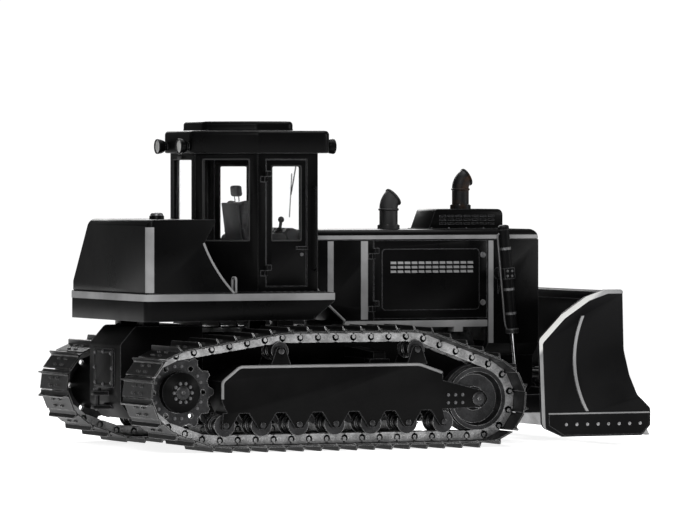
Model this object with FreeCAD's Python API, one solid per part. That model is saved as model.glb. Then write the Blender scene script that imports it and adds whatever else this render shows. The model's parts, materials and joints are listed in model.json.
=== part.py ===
# A mid-size crawler bulldozer with a straight blade on an inside frame, at its real size.
# All lengths are in millimetres. X points to the front, Y to the machine's left, Z up.
# The origin is on the ground, below the middle of the overall length.
import FreeCAD, Part
import math
import os

V = FreeCAD.Vector
os.makedirs("parts", exist_ok=True)

# Clearances
RUNNING_GAP = 0.3
PIN_CLEARANCE = 0.5

# Track shoes and chain
TRACK_GAUGE = 2300.0
SHOE_WIDTH = 760.0
SHOE_PITCH = 196.0
SHOE_PLATE = 16.0
GROUSER_HEIGHT = 52.0
GROUSER_WIDTH = 16.0
GROUSER_PLACE = 20.0
GROUSER_TAPER = 3.0
LINK_HEIGHT = 100.0
PIN_TO_PLATE = 46.0
RAIL_OFFSET = 92.0
RAIL_WIDTH = 42.0

# Track loop and its wheels
SPROCKET_X = -2285.0
SPROCKET_Z = 600.0
SPROCKET_WIDTH = 60.0
SPROCKET_HOLES = 6
HUB_RADIUS = 205.0
HUB_COVER_RADIUS = 120.0
HUB_COVER_DEPTH = 45.0
DRIVE_RADIUS = 250.0
IDLER_X = 965.0
IDLER_FLANGE = 30.0
LOOP_END_RADIUS = 490.0
TOP_RUN_Z = 1250.0
ROLLER_COUNT = 7
FIRST_ROLLER_X = -1825.0
LAST_ROLLER_PAST_FRAME = 15.0
ROLLER_RADIUS = 95.0
ROLLER_FLANGE = 17.0
ROLLER_SHAFT = 38.0
BEND_AHEAD = 120.0
BEND_RADIUS = 500.0
CARRIER_XS = (-1225.0, 275.0)
CARRIER_RADIUS = 80.0

# Track frame
TRACK_FRAME_WIDTH = 330.0
TRACK_FRAME_BOTTOM = 385.0
TRACK_FRAME_TOP = 860.0
FRAME_TO_SPROCKET = 35.0
FRAME_TO_IDLER = 56.0
BRACKET_SPACE = 30.0
BRACKET_THICK = 22.0
BRACKET_FOOT = 150.0
EQUALIZER_X = -60.0
EQUALIZER_ABOVE_FRAME = 45.0
EQUALIZER_HEIGHT = 110.0
EQUALIZER_WIDTH = 130.0
PIVOT_SHAFT_X = -1500.0
PIVOT_SHAFT_Z = 620.0
PIVOT_SHAFT_RADIUS = 75.0
PIVOT_COLLAR = 45.0

# Main frame and rear case
FRAME_HALF_WIDTH = 400.0
FRAME_WALL = 40.0
FRAME_FLOOR = 30.0
FRAME_BOTTOM = 430.0
FRAME_TOP = 1150.0
FRAME_REAR = -1700.0
NOSE_RISE = 150.0
CASE_REAR = -2600.0
CASE_BOTTOM = 300.0
CASE_TOP = 1240.0
CASE_HALF_WIDTH = 420.0
COVER_HALF_WIDTH = 260.0
COVER_HALF_HEIGHT = 195.0
COVER_THICK = 22.0
COVER_MIDDLE_Z = 815.0
COVER_HOLES_Y = 215.0
COVER_HOLES_Z = 150.0
COVER_HOLE_RADIUS = 11.0
DRAWBAR_REACH = 85.0
DRAWBAR_Z = 490.0
DRAWBAR_GAP = 100.0
DRAWBAR_PLATE = 40.0
DRAWBAR_PIN_RADIUS = 25.0

# Platform and fuel tank
DECK_REAR = -2575.0
DECK_FRONT = -515.0
DECK_HALF_WIDTH = 1040.0
DECK_BOTTOM = 1500.0
DECK_THICKNESS = 80.0
DECK_CORNER = 70.0
SKIRT_BOTTOM = 1300.0
SKIRT_THICK = 40.0
REAR_MOUNT = (-2250.0, 300.0)
FRONT_MOUNT = (-800.0, 360.0)
TANK_REAR = -2555.0
TANK_FRONT = -1940.0
TANK_TOP = 2320.0
TANK_LEFT_TOP = 560.0
TANK_ARM_IN = 760.0
TANK_ARM_FRONT = -1610.0
TANK_LIP_FRONT = -1820.0
TANK_NECK_DROP = 235.0
FILLER_RADIUS = 75.0
FILLER_PLACE = (260.0, -640.0)

# Cab
CAB_REAR_X = -1750.0
CAB_MID_X = -1215.0
CAB_FRONT_X = -555.0
CAB_REAR_HALF = 330.0
CAB_HALF = 700.0
CAB_WALL = 50.0
CAB_FLOOR = 40.0
CAB_TOP = 2985.0
SILL_Z = 2100.0
HEAD_Z = 2925.0
POST_HALF = 85.0
DOOR_LATCH_POST = 120.0
DOOR_GAP = 6.0
DOOR_FREE_GAP = 9.0
DOOR_SILL = 15.0
DOOR_INSET = 8.0
DOOR_BORDER = 60.0
GRIP_DEPTH = 26.0
GRIP_HALF = 60.0
GRIP_BELOW_SILL = 75.0
GLASS = 6.0
ROOF_EDGE_Z = 3215.0
ROOF_TOP_Z = 3310.0
ROOF_OVERHANG = 60.0
ROOF_BROW = 130.0
ROOF_ROUNDING = 45.0
CROWN_INSET = 170.0
CROWN_FRONT_INSET = 330.0
CROWN_ROUNDING = 40.0
LAMP_Z = 3055.0
LAMP_RADIUS = 78.0
LAMP_REAR_Y = 290.0
LAMP_FRONT_Y = 560.0

# Hinges
HINGE_OUT = 14.0
HINGE_RADIUS = 13.0
HINGE_TALL = 55.0
HINGE_LEAF = 60.0
CAB_HINGES = (1800.0, 2750.0)
HOOD_HINGES = (1420.0, 1960.0)

# Inside the cab
SEAT_X = -910.0
SEAT_BASE_HEIGHT = 330.0
SEAT_HALF = 250.0
BACKREST_HEIGHT = 590.0
HEADREST_HEIGHT = 730.0
CONSOLE_IN = 300.0
CONSOLE_OUT = 430.0
CONSOLE_HEIGHT = 560.0
DASH_HALF = 330.0
DASH_TOP = 2200.0

# Engine housing
HOOD_HALF = 520.0
HOOD_TOP_Z = 2205.0
HOOD_CAP = 105.0
HOOD_SHOULDER = 60.0
HOOD_BROW = 85.0
COWL_REAR = -505.0
COWL_FRONT = 145.0
COWL_SLOPE = 330.0
GUARD_REAR = 1435.0
GUARD_FRONT = 2020.0
GUARD_BOTTOM = 900.0
GUARD_WALL = 70.0
SIDE_RAIL_Z = 1200.0
SIDE_RAIL_HEIGHT = 70.0
SIDE_RAIL_WIDTH = 60.0
REAR_FOOT_BEHIND = 150.0
FRONT_FOOT_BEHIND = 330.0
SHEET = 30.0
FIELD_BORDER = 90.0
FIELD_PROUD = 8.0
GRILLE_DEPTH = 50.0
GRILLE_FRAME = 40.0
GRILLE_BARS = 12
BAR_WIDTH = 18.0
RADIATOR_DEPTH = 160.0
FAN_Z = 1620.0
FAN_RADIUS = 340.0
ENGINE_REAR = 300.0
ENGINE_FRONT = 1300.0
ENGINE_GAP = 30.0

# Stacks on the hood
BOX_REAR = 900.0
BOX_FRONT = 1750.0
BOX_HALF = 230.0
BOX_HEIGHT = 205.0
EXHAUST_FROM_BOX = 470.0
EXHAUST_RADIUS = 88.0
EXHAUST_RISE = 215.0
EXHAUST_BEND = 130.0
INTAKE_X = 550.0
INTAKE_RADIUS = 95.0
INTAKE_RISE = 215.0
INTAKE_BEND = 150.0
PIPE_WALL = 8.0

# Blade frame
ARM_PIVOT_X = -875.0
ARM_PIVOT_Z = 600.0
ARM_PIN_RADIUS = 55.0
ARM_INNER = 530.0
ARM_WIDTH = 90.0
ARM_HEIGHT = 190.0
ARM_FRONT_Z = 400.0
NOSE_REAR = 2130.0
NOSE_DEPTH = 70.0
NOSE_HUMP = 60.0
BEARING_RADIUS = 120.0
BEARING_DEPTH = 85.0

# Blade
TILT_Z = 480.0
TILT_PIN_RADIUS = 55.0
BLADE_HALF = 1630.0
BLADE_BOTTOM = 100.0
BLADE_TOP = 1595.0
BOARD_TOP_X = 2435.0
BOARD_MIDDLE = (2400.0, 930.0)
BOARD_FOOT = (2640.0, 270.0)
BOARD_THICK = 28.0
END_PLATE = 36.0
RIM_PROUD = 10.0
RIM_WIDTH = 40.0
PLATE_BACK = 1490.0
EDGE_TIP_X = 2767.0
EDGE_THICK = 28.0
RIB_YS = (800.0, 1200.0)
RIB_THICK = 28.0
HUB_BLOCK_HALF = 190.0

# Lift cylinders
LIFT_EYE_X = 1700.0
LIFT_EYE_Z = 380.0
LIFT_TRUNNION_X = 1570.0
LIFT_TRUNNION_Z = 1750.0
LIFT_Y = 712.0
LIFT_PIN_RADIUS = 26.0
LIFT_PIN_PLAY = 24.0
LIFT_ROD_RADIUS = 32.0
LIFT_TUBE_RADIUS = 56.0
LIFT_GLAND = 757.0
LIFT_BARREL = 1100.0
LIFT_ENGAGED = 395.0
LIFT_EYE_RADIUS = 80.0
TRUNNION_RADIUS = 30.0
TRUNNION_DEPTH = 26.0
TRUNNION_HALF = 86.0

# Tilt cylinder
TILT_ROD_Z = 690.0
TILT_BASE_Y = -365.0
TILT_EYE_Y = 420.0
TILT_CLEAR = 56.0
TILT_ROD_RADIUS = 25.0
TILT_TUBE_RADIUS = 45.0
TILT_TUBE_LENGTH = 430.0
TILT_BASE_PIN = 22.0
TILT_EYE_PIN = 20.0
TILT_EYE_PLAY = 10.0


def vector_on(plane, a, b, offset):
    """A point given by its two coordinates in a plane and its distance along the third axis."""
    return {"xz": V(a, offset, b), "xy": V(a, b, offset), "yz": V(offset, a, b)}[plane]


def round_corner(before, corner, after):
    """Start, middle and end of the arc that rounds a corner (a, b, radius) between its neighbours."""
    a, b, radius = corner
    to_before = math.hypot(before[0] - a, before[1] - b)
    to_after = math.hypot(after[0] - a, after[1] - b)
    ua, ub = (before[0] - a) / to_before, (before[1] - b) / to_before
    wa, wb = (after[0] - a) / to_after, (after[1] - b) / to_after
    half = math.acos(max(-1.0, min(1.0, ua * wa + ub * wb))) / 2.0
    reach = radius / math.tan(half)
    depth = radius / math.sin(half) - radius
    size = math.hypot(ua + wa, ub + wb)
    middle = (a + (ua + wa) / size * depth, b + (ub + wb) / size * depth)
    return (a + ua * reach, b + ub * reach), middle, (a + wa * reach, b + wb * reach)


def outline(plane, corners, offset):
    """Closed wire through corners (a, b) or (a, b, radius), with round corners as arcs."""
    runs = []
    for i, corner in enumerate(corners):
        if len(corner) > 2:
            runs.append(round_corner(corners[i - 1], corner, corners[(i + 1) % len(corners)]))
        else:
            runs.append((corner, None, corner))
    edges = []
    for i, (start, middle, end) in enumerate(runs):
        if middle is not None:
            points = [vector_on(plane, *place, offset) for place in (start, middle, end)]
            edges.append(Part.Arc(*points).toShape())
        following = runs[(i + 1) % len(runs)][0]
        if math.dist(end, following) > 1e-6:
            line = (vector_on(plane, *end, offset), vector_on(plane, *following, offset))
            edges.append(Part.makeLine(*line))
    return Part.Wire(edges)


def prism(plane, corners, start, stop):
    """Solid made by pushing a closed outline from one offset to another."""
    direction = vector_on(plane, 0.0, 0.0, stop - start)
    return Part.Face(outline(plane, corners, start)).extrude(direction)


def box(x0, x1, y0, y1, z0, z1):
    return Part.makeBox(x1 - x0, y1 - y0, z1 - z0, V(x0, y0, z0))


def rod(axis, centre, radius, length):
    """Round bar centred on a point, along x, y or z."""
    direction = {"x": V(1, 0, 0), "y": V(0, 1, 0), "z": V(0, 0, 1)}[axis]
    return Part.makeCylinder(radius, length, centre - direction * (length / 2.0), direction)


def pin_from(start, direction, radius, length):
    """Round bar that starts at a point."""
    return Part.makeCylinder(radius, length, start, direction)


def fused(shapes):
    return shapes[0].fuse(shapes[1:]).removeSplitter()


def mirrored(shape):
    return shape.mirror(V(0, 0, 0), V(0, 1, 0))


def rounded_at(shape, z, radius):
    """Rounds the edges that lie at one height."""
    edges = [edge for edge in shape.Edges if all(abs(end.Z - z) < 0.01 for end in edge.Vertexes)]
    return shape.makeFillet(radius, edges)


def save(name, shape):
    shape.exportStep("parts/" + name + ".step")
    print(name, len(shape.Solids), round(shape.Volume / 1e9, 4), shape.isValid())


def save_pair(stem, left_shape):
    """Left piece as modelled and right piece as its mirror image."""
    save(stem + "_left", left_shape)
    save(stem + "_right", mirrored(left_shape))


# Sizes that follow for the track
PIN_DEPTH = GROUSER_HEIGHT + SHOE_PLATE + PIN_TO_PLATE
RAIL_DEPTH = GROUSER_HEIGHT + SHOE_PLATE + LINK_HEIGHT
PIN_LOOP_RADIUS = LOOP_END_RADIUS - PIN_DEPTH
IDLER_Z = LOOP_END_RADIUS
TRACK_Y = TRACK_GAUGE / 2.0
ROLLER_Z = RAIL_DEPTH + ROLLER_RADIUS + RUNNING_GAP
CARRIER_Z = TOP_RUN_Z - RAIL_DEPTH - CARRIER_RADIUS
CARRIER_PIN_RADIUS = CARRIER_RADIUS + RAIL_DEPTH - PIN_DEPTH
RAIL_INNER = RAIL_OFFSET - RAIL_WIDTH / 2.0
RAIL_OUTER = RAIL_OFFSET + RAIL_WIDTH / 2.0
BRACKET_IN = RAIL_OUTER + BRACKET_SPACE
BRACKET_OUT = BRACKET_IN + BRACKET_THICK
SPROCKET_TIP = PIN_LOOP_RADIUS + 6.0
SPROCKET_ROOT = PIN_LOOP_RADIUS - 42.0

# The pin line is a belt drawn tight round these wheels
WHEELS = (
    # x, z, radius
    (SPROCKET_X, SPROCKET_Z, PIN_LOOP_RADIUS),
    (FIRST_ROLLER_X - BEND_AHEAD, PIN_DEPTH + BEND_RADIUS, BEND_RADIUS),
    (IDLER_X, IDLER_Z, PIN_LOOP_RADIUS),
    (CARRIER_XS[1], CARRIER_Z, CARRIER_PIN_RADIUS),
    (CARRIER_XS[0], CARRIER_Z, CARRIER_PIN_RADIUS),
)


def pin_line(wheels):
    """Stretches of the pin line: ("line", start, end) and ("arc", centre, radius, from, to)."""
    turns = []
    for i, (x0, z0, r0) in enumerate(wheels):
        x1, z1, r1 = wheels[(i + 1) % len(wheels)]
        gap = math.hypot(x1 - x0, z1 - z0)
        lean = math.atan2(z1 - z0, x1 - x0)
        turns.append(lean - math.pi / 2.0 + math.asin((r0 - r1) / gap))
    stretches = []
    for i, (x0, z0, r0) in enumerate(wheels):
        x1, z1, r1 = wheels[(i + 1) % len(wheels)]
        arriving, leaving = turns[i - 1], turns[i]
        while leaving < arriving:
            leaving += 2.0 * math.pi
        stretches.append(("arc", (x0, z0), r0, arriving, leaving))
        start = (x0 + r0 * math.cos(leaving), z0 + r0 * math.sin(leaving))
        end = (x1 + r1 * math.cos(leaving), z1 + r1 * math.sin(leaving))
        stretches.append(("line", start, end))
    return stretches


def stretch_length(stretch):
    if stretch[0] == "line":
        return math.dist(stretch[1], stretch[2])
    return stretch[2] * (stretch[4] - stretch[3])


LOOP = pin_line(WHEELS)
LOOP_LENGTH = sum(stretch_length(stretch) for stretch in LOOP)
SHOE_COUNT = round(LOOP_LENGTH / SHOE_PITCH)
REAL_PITCH = LOOP_LENGTH / SHOE_COUNT


def point_on_loop(distance):
    """Place on the pin line and the outward direction there."""
    distance = distance % LOOP_LENGTH
    for stretch in LOOP:
        length = stretch_length(stretch)
        if distance <= length:
            break
        distance -= length
    if stretch[0] == "line":
        (x0, z0), (x1, z1) = stretch[1:]
        share = distance / length
        return x0 + (x1 - x0) * share, z0 + (z1 - z0) * share, (z1 - z0) / length, (x0 - x1) / length
    (x, z), radius = stretch[1:3]
    angle = stretch[3] + distance / radius
    return x + radius * math.cos(angle), z + radius * math.sin(angle), math.cos(angle), math.sin(angle)


def loop_polygon(steps):
    """Corners around the loop; steps are (distance from a pin, height outwards from the pin line)."""
    corners = []
    for i in range(SHOE_COUNT):
        for along, height in steps:
            x, z, out_x, out_z = point_on_loop(i * REAL_PITCH + along)
            corners.append((x + out_x * height, z + out_z * height))
    return corners


SEAT_FACE = loop_polygon(((0.0, PIN_TO_PLATE), (REAL_PITCH / 2.0, PIN_TO_PLATE)))
RAIL_FACE = loop_polygon(((0.0, PIN_TO_PLATE - LINK_HEIGHT), (REAL_PITCH / 2.0, PIN_TO_PLATE - LINK_HEIGHT)))


def track_loop():
    """Shoes with their grousers as one ribbon, joined to the two rails of the chain."""
    plate_top = PIN_TO_PLATE + SHOE_PLATE
    tip = plate_top + GROUSER_HEIGHT
    tread = loop_polygon(((GROUSER_PLACE, plate_top), (GROUSER_PLACE + GROUSER_TAPER, tip),
                          (GROUSER_PLACE + GROUSER_TAPER + GROUSER_WIDTH, tip),
                          (GROUSER_PLACE + 2.0 * GROUSER_TAPER + GROUSER_WIDTH, plate_top)))
    y0, y1 = TRACK_Y - SHOE_WIDTH / 2.0, TRACK_Y + SHOE_WIDTH / 2.0
    shoes = prism("xz", tread, y0, y1).cut(prism("xz", SEAT_FACE, y0 - 1.0, y1 + 1.0))
    rails = []
    for middle in (TRACK_Y - RAIL_OFFSET, TRACK_Y + RAIL_OFFSET):
        y0, y1 = middle - RAIL_WIDTH / 2.0, middle + RAIL_WIDTH / 2.0
        rails.append(prism("xz", SEAT_FACE, y0, y1).cut(prism("xz", RAIL_FACE, y0 - 1.0, y1 + 1.0)))
    return shoes.fuse(rails)


def clear_radius(x, z):
    """Largest wheel about a point that stays inside the faceted face of the rails."""
    nearest = LOOP_LENGTH
    for i, (bx, bz) in enumerate(RAIL_FACE):
        ax, az = RAIL_FACE[i - 1]
        length = math.hypot(bx - ax, bz - az)
        share = ((x - ax) * (bx - ax) + (z - az) * (bz - az)) / length ** 2
        share = max(0.0, min(1.0, share))
        nearest = min(nearest, math.hypot(ax + share * (bx - ax) - x, az + share * (bz - az) - z))
    return nearest - RUNNING_GAP


IDLER_TREAD = clear_radius(IDLER_X, IDLER_Z)
TRACK_FRAME_REAR = SPROCKET_X + SPROCKET_TIP + FRAME_TO_SPROCKET
TRACK_FRAME_FRONT = IDLER_X - IDLER_TREAD - IDLER_FLANGE - FRAME_TO_IDLER
ROLLER_PITCH = (TRACK_FRAME_FRONT + LAST_ROLLER_PAST_FRAME - FIRST_ROLLER_X) / (ROLLER_COUNT - 1)
EQUALIZER_BOTTOM = TRACK_FRAME_TOP + EQUALIZER_ABOVE_FRAME


def turned(x, z, half_profile):
    """Wheel turned about a cross axis, symmetric about the track's middle; steps are (y, radius)."""
    steps = [(-y, radius) for y, radius in reversed(half_profile)] + list(half_profile)
    points = [V(x, TRACK_Y + steps[0][0], z)]
    points += [V(x, TRACK_Y + y, z + radius) for y, radius in steps]
    points += [V(x, TRACK_Y + steps[-1][0], z), points[0]]
    return Part.Face(Part.makePolygon(points)).revolve(V(x, 0, z), V(0, 1, 0), 360)


def roller(x, z, radius):
    """Double-flanged roller with its shaft ends just inside its brackets."""
    flange = radius + ROLLER_FLANGE
    return turned(x, z, ((RAIL_INNER - 14.0, radius - 22.0), (RAIL_INNER - 6.0, radius),
                         (RAIL_OUTER + 3.0, radius), (RAIL_OUTER + 5.0, flange),
                         (RAIL_OUTER + 18.0, flange), (RAIL_OUTER + 18.0, ROLLER_SHAFT),
                         (BRACKET_IN - RUNNING_GAP, ROLLER_SHAFT)))


def track_rollers():
    places = [FIRST_ROLLER_X + i * ROLLER_PITCH for i in range(ROLLER_COUNT)]
    return Part.Compound([roller(x, ROLLER_Z, ROLLER_RADIUS) for x in places])


def carrier_rollers():
    return Part.Compound([roller(x, CARRIER_Z, clear_radius(x, CARRIER_Z)) for x in CARRIER_XS])


def idler():
    """Front idler: a centre flange between the rails, two treads, a dished web and a hub."""
    hub = 95.0
    end = BRACKET_IN - RUNNING_GAP
    return turned(IDLER_X, IDLER_Z, ((RAIL_INNER - 18.0, IDLER_TREAD + IDLER_FLANGE),
                                     (RAIL_INNER - 8.0, IDLER_TREAD), (RAIL_OUTER + 3.0, IDLER_TREAD),
                                     (RAIL_OUTER + 3.0, IDLER_TREAD - 45.0), (34.0, IDLER_TREAD - 70.0),
                                     (34.0, hub + 25.0), (end - 12.0, hub), (end, hub)))


def sprocket():
    """Toothed rim between the rails, with a bore for the hub and a ring of holes."""
    teeth = round(2.0 * math.pi * PIN_LOOP_RADIUS / REAL_PITCH)
    corners = []
    for i in range(teeth):
        for share, radius in ((-0.32, SPROCKET_ROOT), (-0.12, SPROCKET_TIP), (0.12, SPROCKET_TIP),
                              (0.32, SPROCKET_ROOT)):
            angle = 2.0 * math.pi * (i + share) / teeth
            corners.append((SPROCKET_X + radius * math.cos(angle), SPROCKET_Z + radius * math.sin(angle)))
    rim = prism("xz", corners, TRACK_Y - SPROCKET_WIDTH / 2.0, TRACK_Y + SPROCKET_WIDTH / 2.0)
    centre = V(SPROCKET_X, TRACK_Y, SPROCKET_Z)
    cuts = [rod("y", centre, HUB_RADIUS + RUNNING_GAP, 2.0 * SPROCKET_WIDTH)]
    ring = (HUB_RADIUS + SPROCKET_ROOT) / 2.0
    for i in range(SPROCKET_HOLES):
        angle = 2.0 * math.pi * i / SPROCKET_HOLES
        place = centre + V(math.cos(angle), 0, math.sin(angle)) * ring
        cuts.append(rod("y", place, 26.0, 2.0 * SPROCKET_WIDTH))
    return rim.cut(Part.Compound(cuts))


def final_drive():
    """Drive housing from the rear case out through the sprocket, with a domed cover."""
    along = V(0, 1, 0)
    start = CASE_HALF_WIDTH + RUNNING_GAP
    stop = TRACK_Y - SPROCKET_WIDTH / 2.0 - RUNNING_GAP
    face = TRACK_Y + RAIL_OUTER + 2.0
    housing = pin_from(V(SPROCKET_X, start, SPROCKET_Z), along, DRIVE_RADIUS, stop - start)
    hub = pin_from(V(SPROCKET_X, stop - 1.0, SPROCKET_Z), along, HUB_RADIUS, face - stop + 1.0)
    cover = Part.makeCone(HUB_RADIUS, HUB_COVER_RADIUS, HUB_COVER_DEPTH,
                          V(SPROCKET_X, face, SPROCKET_Z), along)
    return fused([housing, hub, cover])


def roller_bracket(x, first, last):
    """Side view of one roller bracket; the end ones lean away from the wheel beside them."""
    foot = TRACK_FRAME_BOTTOM + 4.0
    low = ROLLER_Z - 40.0
    rear_foot = x - 32.0 if first else x - BRACKET_FOOT
    front_foot = x - 15.0 if last else x + BRACKET_FOOT
    front_low = x + 30.0 if last else x + 42.0
    return ((x - 42.0, low, 20.0), (front_low, low, 20.0), (front_foot, foot), (rear_foot, foot))


def track_frame():
    """Box beam with roller brackets below, carrier brackets on top and the idler's fork."""
    half = TRACK_FRAME_WIDTH / 2.0
    rear, front = TRACK_FRAME_REAR, TRACK_FRAME_FRONT
    low, high = TRACK_FRAME_BOTTOM, TRACK_FRAME_TOP
    beam = ((rear, low + 120.0), (rear + 60.0, low), (front, low), (front, high - 90.0),
            (front - 260.0, high), (rear + 200.0, high), (rear, high - 150.0))
    sides = [roller_bracket(FIRST_ROLLER_X + i * ROLLER_PITCH, i == 0, i == ROLLER_COUNT - 1)
             for i in range(ROLLER_COUNT)]
    for x in CARRIER_XS:
        sides.append(((x - 110.0, high - 4.0), (x + 110.0, high - 4.0),
                      (x + 45.0, CARRIER_Z + 40.0, 30.0), (x - 45.0, CARRIER_Z + 40.0, 30.0)))
    sides.append(((front - 60.0, IDLER_Z - 100.0), (IDLER_X + 40.0, IDLER_Z - 85.0, 40.0),
                  (IDLER_X + 120.0, IDLER_Z, 60.0), (IDLER_X + 40.0, IDLER_Z + 85.0, 40.0),
                  (front - 60.0, high - 160.0)))
    pieces = [prism("xz", beam, TRACK_Y - half, TRACK_Y + half)]
    for side in sides:
        for y in (TRACK_Y - BRACKET_OUT, TRACK_Y + BRACKET_IN):
            pieces.append(prism("xz", side, y, y + BRACKET_THICK))
    pad = EQUALIZER_WIDTH / 2.0 + 45.0
    pieces.append(box(EQUALIZER_X - pad, EQUALIZER_X + pad, TRACK_Y - half + 15.0, TRACK_Y - 20.0,
                      high - 1.0, EQUALIZER_BOTTOM))
    return fused(pieces)


def main_frame():
    """Open trough between the tracks, slotted for the equalizer bar, with pivots for the arms."""
    outer = FRAME_HALF_WIDTH
    inner = FRAME_HALF_WIDTH - FRAME_WALL
    front = GUARD_FRONT - 10.0
    side = ((FRAME_REAR, FRAME_TOP), (FRAME_REAR, FRAME_BOTTOM + 60.0), (FRAME_REAR + 90.0, FRAME_BOTTOM),
            (front - NOSE_RISE, FRAME_BOTTOM), (front, FRAME_BOTTOM + NOSE_RISE), (front, GUARD_BOTTOM),
            (GUARD_REAR - 40.0, GUARD_BOTTOM), (GUARD_REAR - 140.0, FRAME_TOP))
    pieces = [prism("xz", side, inner, outer), prism("xz", side, -outer, -inner)]
    pieces.append(box(FRAME_REAR + 90.0, front - NOSE_RISE, -inner, inner, FRAME_BOTTOM,
                      FRAME_BOTTOM + FRAME_FLOOR))
    pieces.append(box(front - FRAME_WALL, front, -inner, inner, FRAME_BOTTOM + NOSE_RISE, GUARD_BOTTOM))
    pieces.append(box(FRAME_REAR, FRAME_REAR + FRAME_WALL, -inner, inner, FRAME_BOTTOM + 60.0, FRAME_TOP))
    slot = EQUALIZER_WIDTH / 2.0 + RUNNING_GAP
    opening = box(EQUALIZER_X - slot, EQUALIZER_X + slot, -outer - 1.0, outer + 1.0,
                  EQUALIZER_BOTTOM - RUNNING_GAP, EQUALIZER_BOTTOM + EQUALIZER_HEIGHT + RUNNING_GAP)
    pivot = V(ARM_PIVOT_X, outer - 5.0, ARM_PIVOT_Z)
    pin = pin_from(pivot, V(0, 1, 0), ARM_PIN_RADIUS, ARM_INNER + ARM_WIDTH + 25.0 - outer)
    spacer = pin_from(pivot, V(0, 1, 0), 2.0 * ARM_PIN_RADIUS, ARM_INNER - outer - 1.0)
    left = fused([pin, spacer])
    return fused([fused(pieces).cut(opening), left, mirrored(left)])


def drawbar_plates():
    """Two plates behind the case, one above the other, for an upright drawbar pin."""
    eye_x = CASE_REAR - DRAWBAR_REACH
    plan = ((CASE_REAR + 60.0, -110.0), (eye_x - 55.0, -75.0, 60.0), (eye_x - 55.0, 75.0, 60.0),
            (CASE_REAR + 60.0, 110.0))
    lows = (DRAWBAR_Z - DRAWBAR_GAP / 2.0 - DRAWBAR_PLATE, DRAWBAR_Z + DRAWBAR_GAP / 2.0)
    return [prism("xy", plan, low, low + DRAWBAR_PLATE) for low in lows]


def rear_case():
    """Gear case between the final drives, with a bolting cover and a drawbar on its rear face."""
    front = FRAME_REAR - 5.0
    side = ((front, CASE_TOP), (CASE_REAR + 160.0, CASE_TOP, 60.0), (CASE_REAR, CASE_TOP - 180.0, 60.0),
            (CASE_REAR, CASE_BOTTOM + 160.0, 60.0), (CASE_REAR + 140.0, CASE_BOTTOM, 60.0),
            (front, CASE_BOTTOM + 60.0))
    low, high = COVER_MIDDLE_Z - COVER_HALF_HEIGHT, COVER_MIDDLE_Z + COVER_HALF_HEIGHT
    cover = ((-COVER_HALF_WIDTH, low, 40.0), (COVER_HALF_WIDTH, low, 40.0),
             (COVER_HALF_WIDTH, high, 40.0), (-COVER_HALF_WIDTH, high, 40.0))
    case = fused([prism("xz", side, -CASE_HALF_WIDTH, CASE_HALF_WIDTH),
                  prism("yz", cover, CASE_REAR - COVER_THICK, CASE_REAR + 10.0)] + drawbar_plates())
    cuts = [rod("z", V(CASE_REAR - DRAWBAR_REACH, 0, DRAWBAR_Z), DRAWBAR_PIN_RADIUS,
                DRAWBAR_GAP + 3.0 * DRAWBAR_PLATE)]
    for y in (-COVER_HOLES_Y, COVER_HOLES_Y):
        for z in (COVER_MIDDLE_Z - COVER_HOLES_Z, COVER_MIDDLE_Z + COVER_HOLES_Z):
            cuts.append(pin_from(V(CASE_REAR - COVER_THICK - 8.0, y, z), V(1, 0, 0), COVER_HOLE_RADIUS, 60.0))
    return case.cut(Part.Compound(cuts))


def pivot_shaft():
    """Shaft stubs that carry the rear of the track frames, with a collar against each frame."""
    start = FRAME_HALF_WIDTH + RUNNING_GAP
    stop = TRACK_Y - TRACK_FRAME_WIDTH / 2.0 - RUNNING_GAP
    collar = 60.0
    along = V(0, 1, 0)
    stub = pin_from(V(PIVOT_SHAFT_X, start, PIVOT_SHAFT_Z), along, PIVOT_SHAFT_RADIUS, stop - start)
    ring = pin_from(V(PIVOT_SHAFT_X, stop - collar, PIVOT_SHAFT_Z), along, PIVOT_SHAFT_RADIUS + PIVOT_COLLAR,
                    collar)
    left = fused([stub, ring])
    return Part.Compound([left, mirrored(left)])


def equalizer_bar():
    """Cross bar through the main frame that rests on both track frames."""
    reach = TRACK_Y - 30.0
    shoulder = FRAME_HALF_WIDTH + 60.0
    low = EQUALIZER_BOTTOM + RUNNING_GAP
    high = EQUALIZER_BOTTOM + EQUALIZER_HEIGHT
    shape = ((-reach, low), (reach, low), (reach, high - 40.0, 20.0), (shoulder, high),
             (-shoulder, high), (-reach, high - 40.0, 20.0))
    return prism("yz", shape, EQUALIZER_X - EQUALIZER_WIDTH / 2.0, EQUALIZER_X + EQUALIZER_WIDTH / 2.0)


# Sizes that follow for the deck, cab and hood
DECK_TOP = DECK_BOTTOM + DECK_THICKNESS
CAB_LOW = DECK_TOP + RUNNING_GAP
FLOOR_TOP = CAB_LOW + CAB_FLOOR
DOOR_BOTTOM = FLOOR_TOP + DOOR_SILL
CAP_LOW = HOOD_TOP_Z - HOOD_CAP
RAIL_TOP = SIDE_RAIL_Z + SIDE_RAIL_HEIGHT
DOOR_LOW = RAIL_TOP + 20.0
CAB_HINGE_X = CAB_MID_X + POST_HALF + 2.0
HOOD_HINGE_X = COWL_FRONT + 3.0
CAB_PLAN = ((CAB_REAR_X, -CAB_REAR_HALF), (CAB_MID_X, -CAB_HALF), (CAB_FRONT_X, -CAB_HALF),
            (CAB_FRONT_X, CAB_HALF), (CAB_MID_X, CAB_HALF), (CAB_REAR_X, CAB_REAR_HALF))
WALL_NAMES = ("rear right", "right", "front", "left", "rear left", "rear")
WINDOWS = (
    # wall, margin at its start, margin at its end, bottom
    ("rear right", 80.0, 90.0, SILL_Z),
    ("front", 95.0, 95.0, SILL_Z - 60.0),
    ("rear left", 90.0, 80.0, SILL_Z),
    ("rear", 80.0, 80.0, SILL_Z),
)
DOORWAYS = (
    # wall, margin at its start, margin at its end
    ("right", POST_HALF, DOOR_LATCH_POST),
    ("left", DOOR_LATCH_POST, POST_HALF),
)


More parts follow.
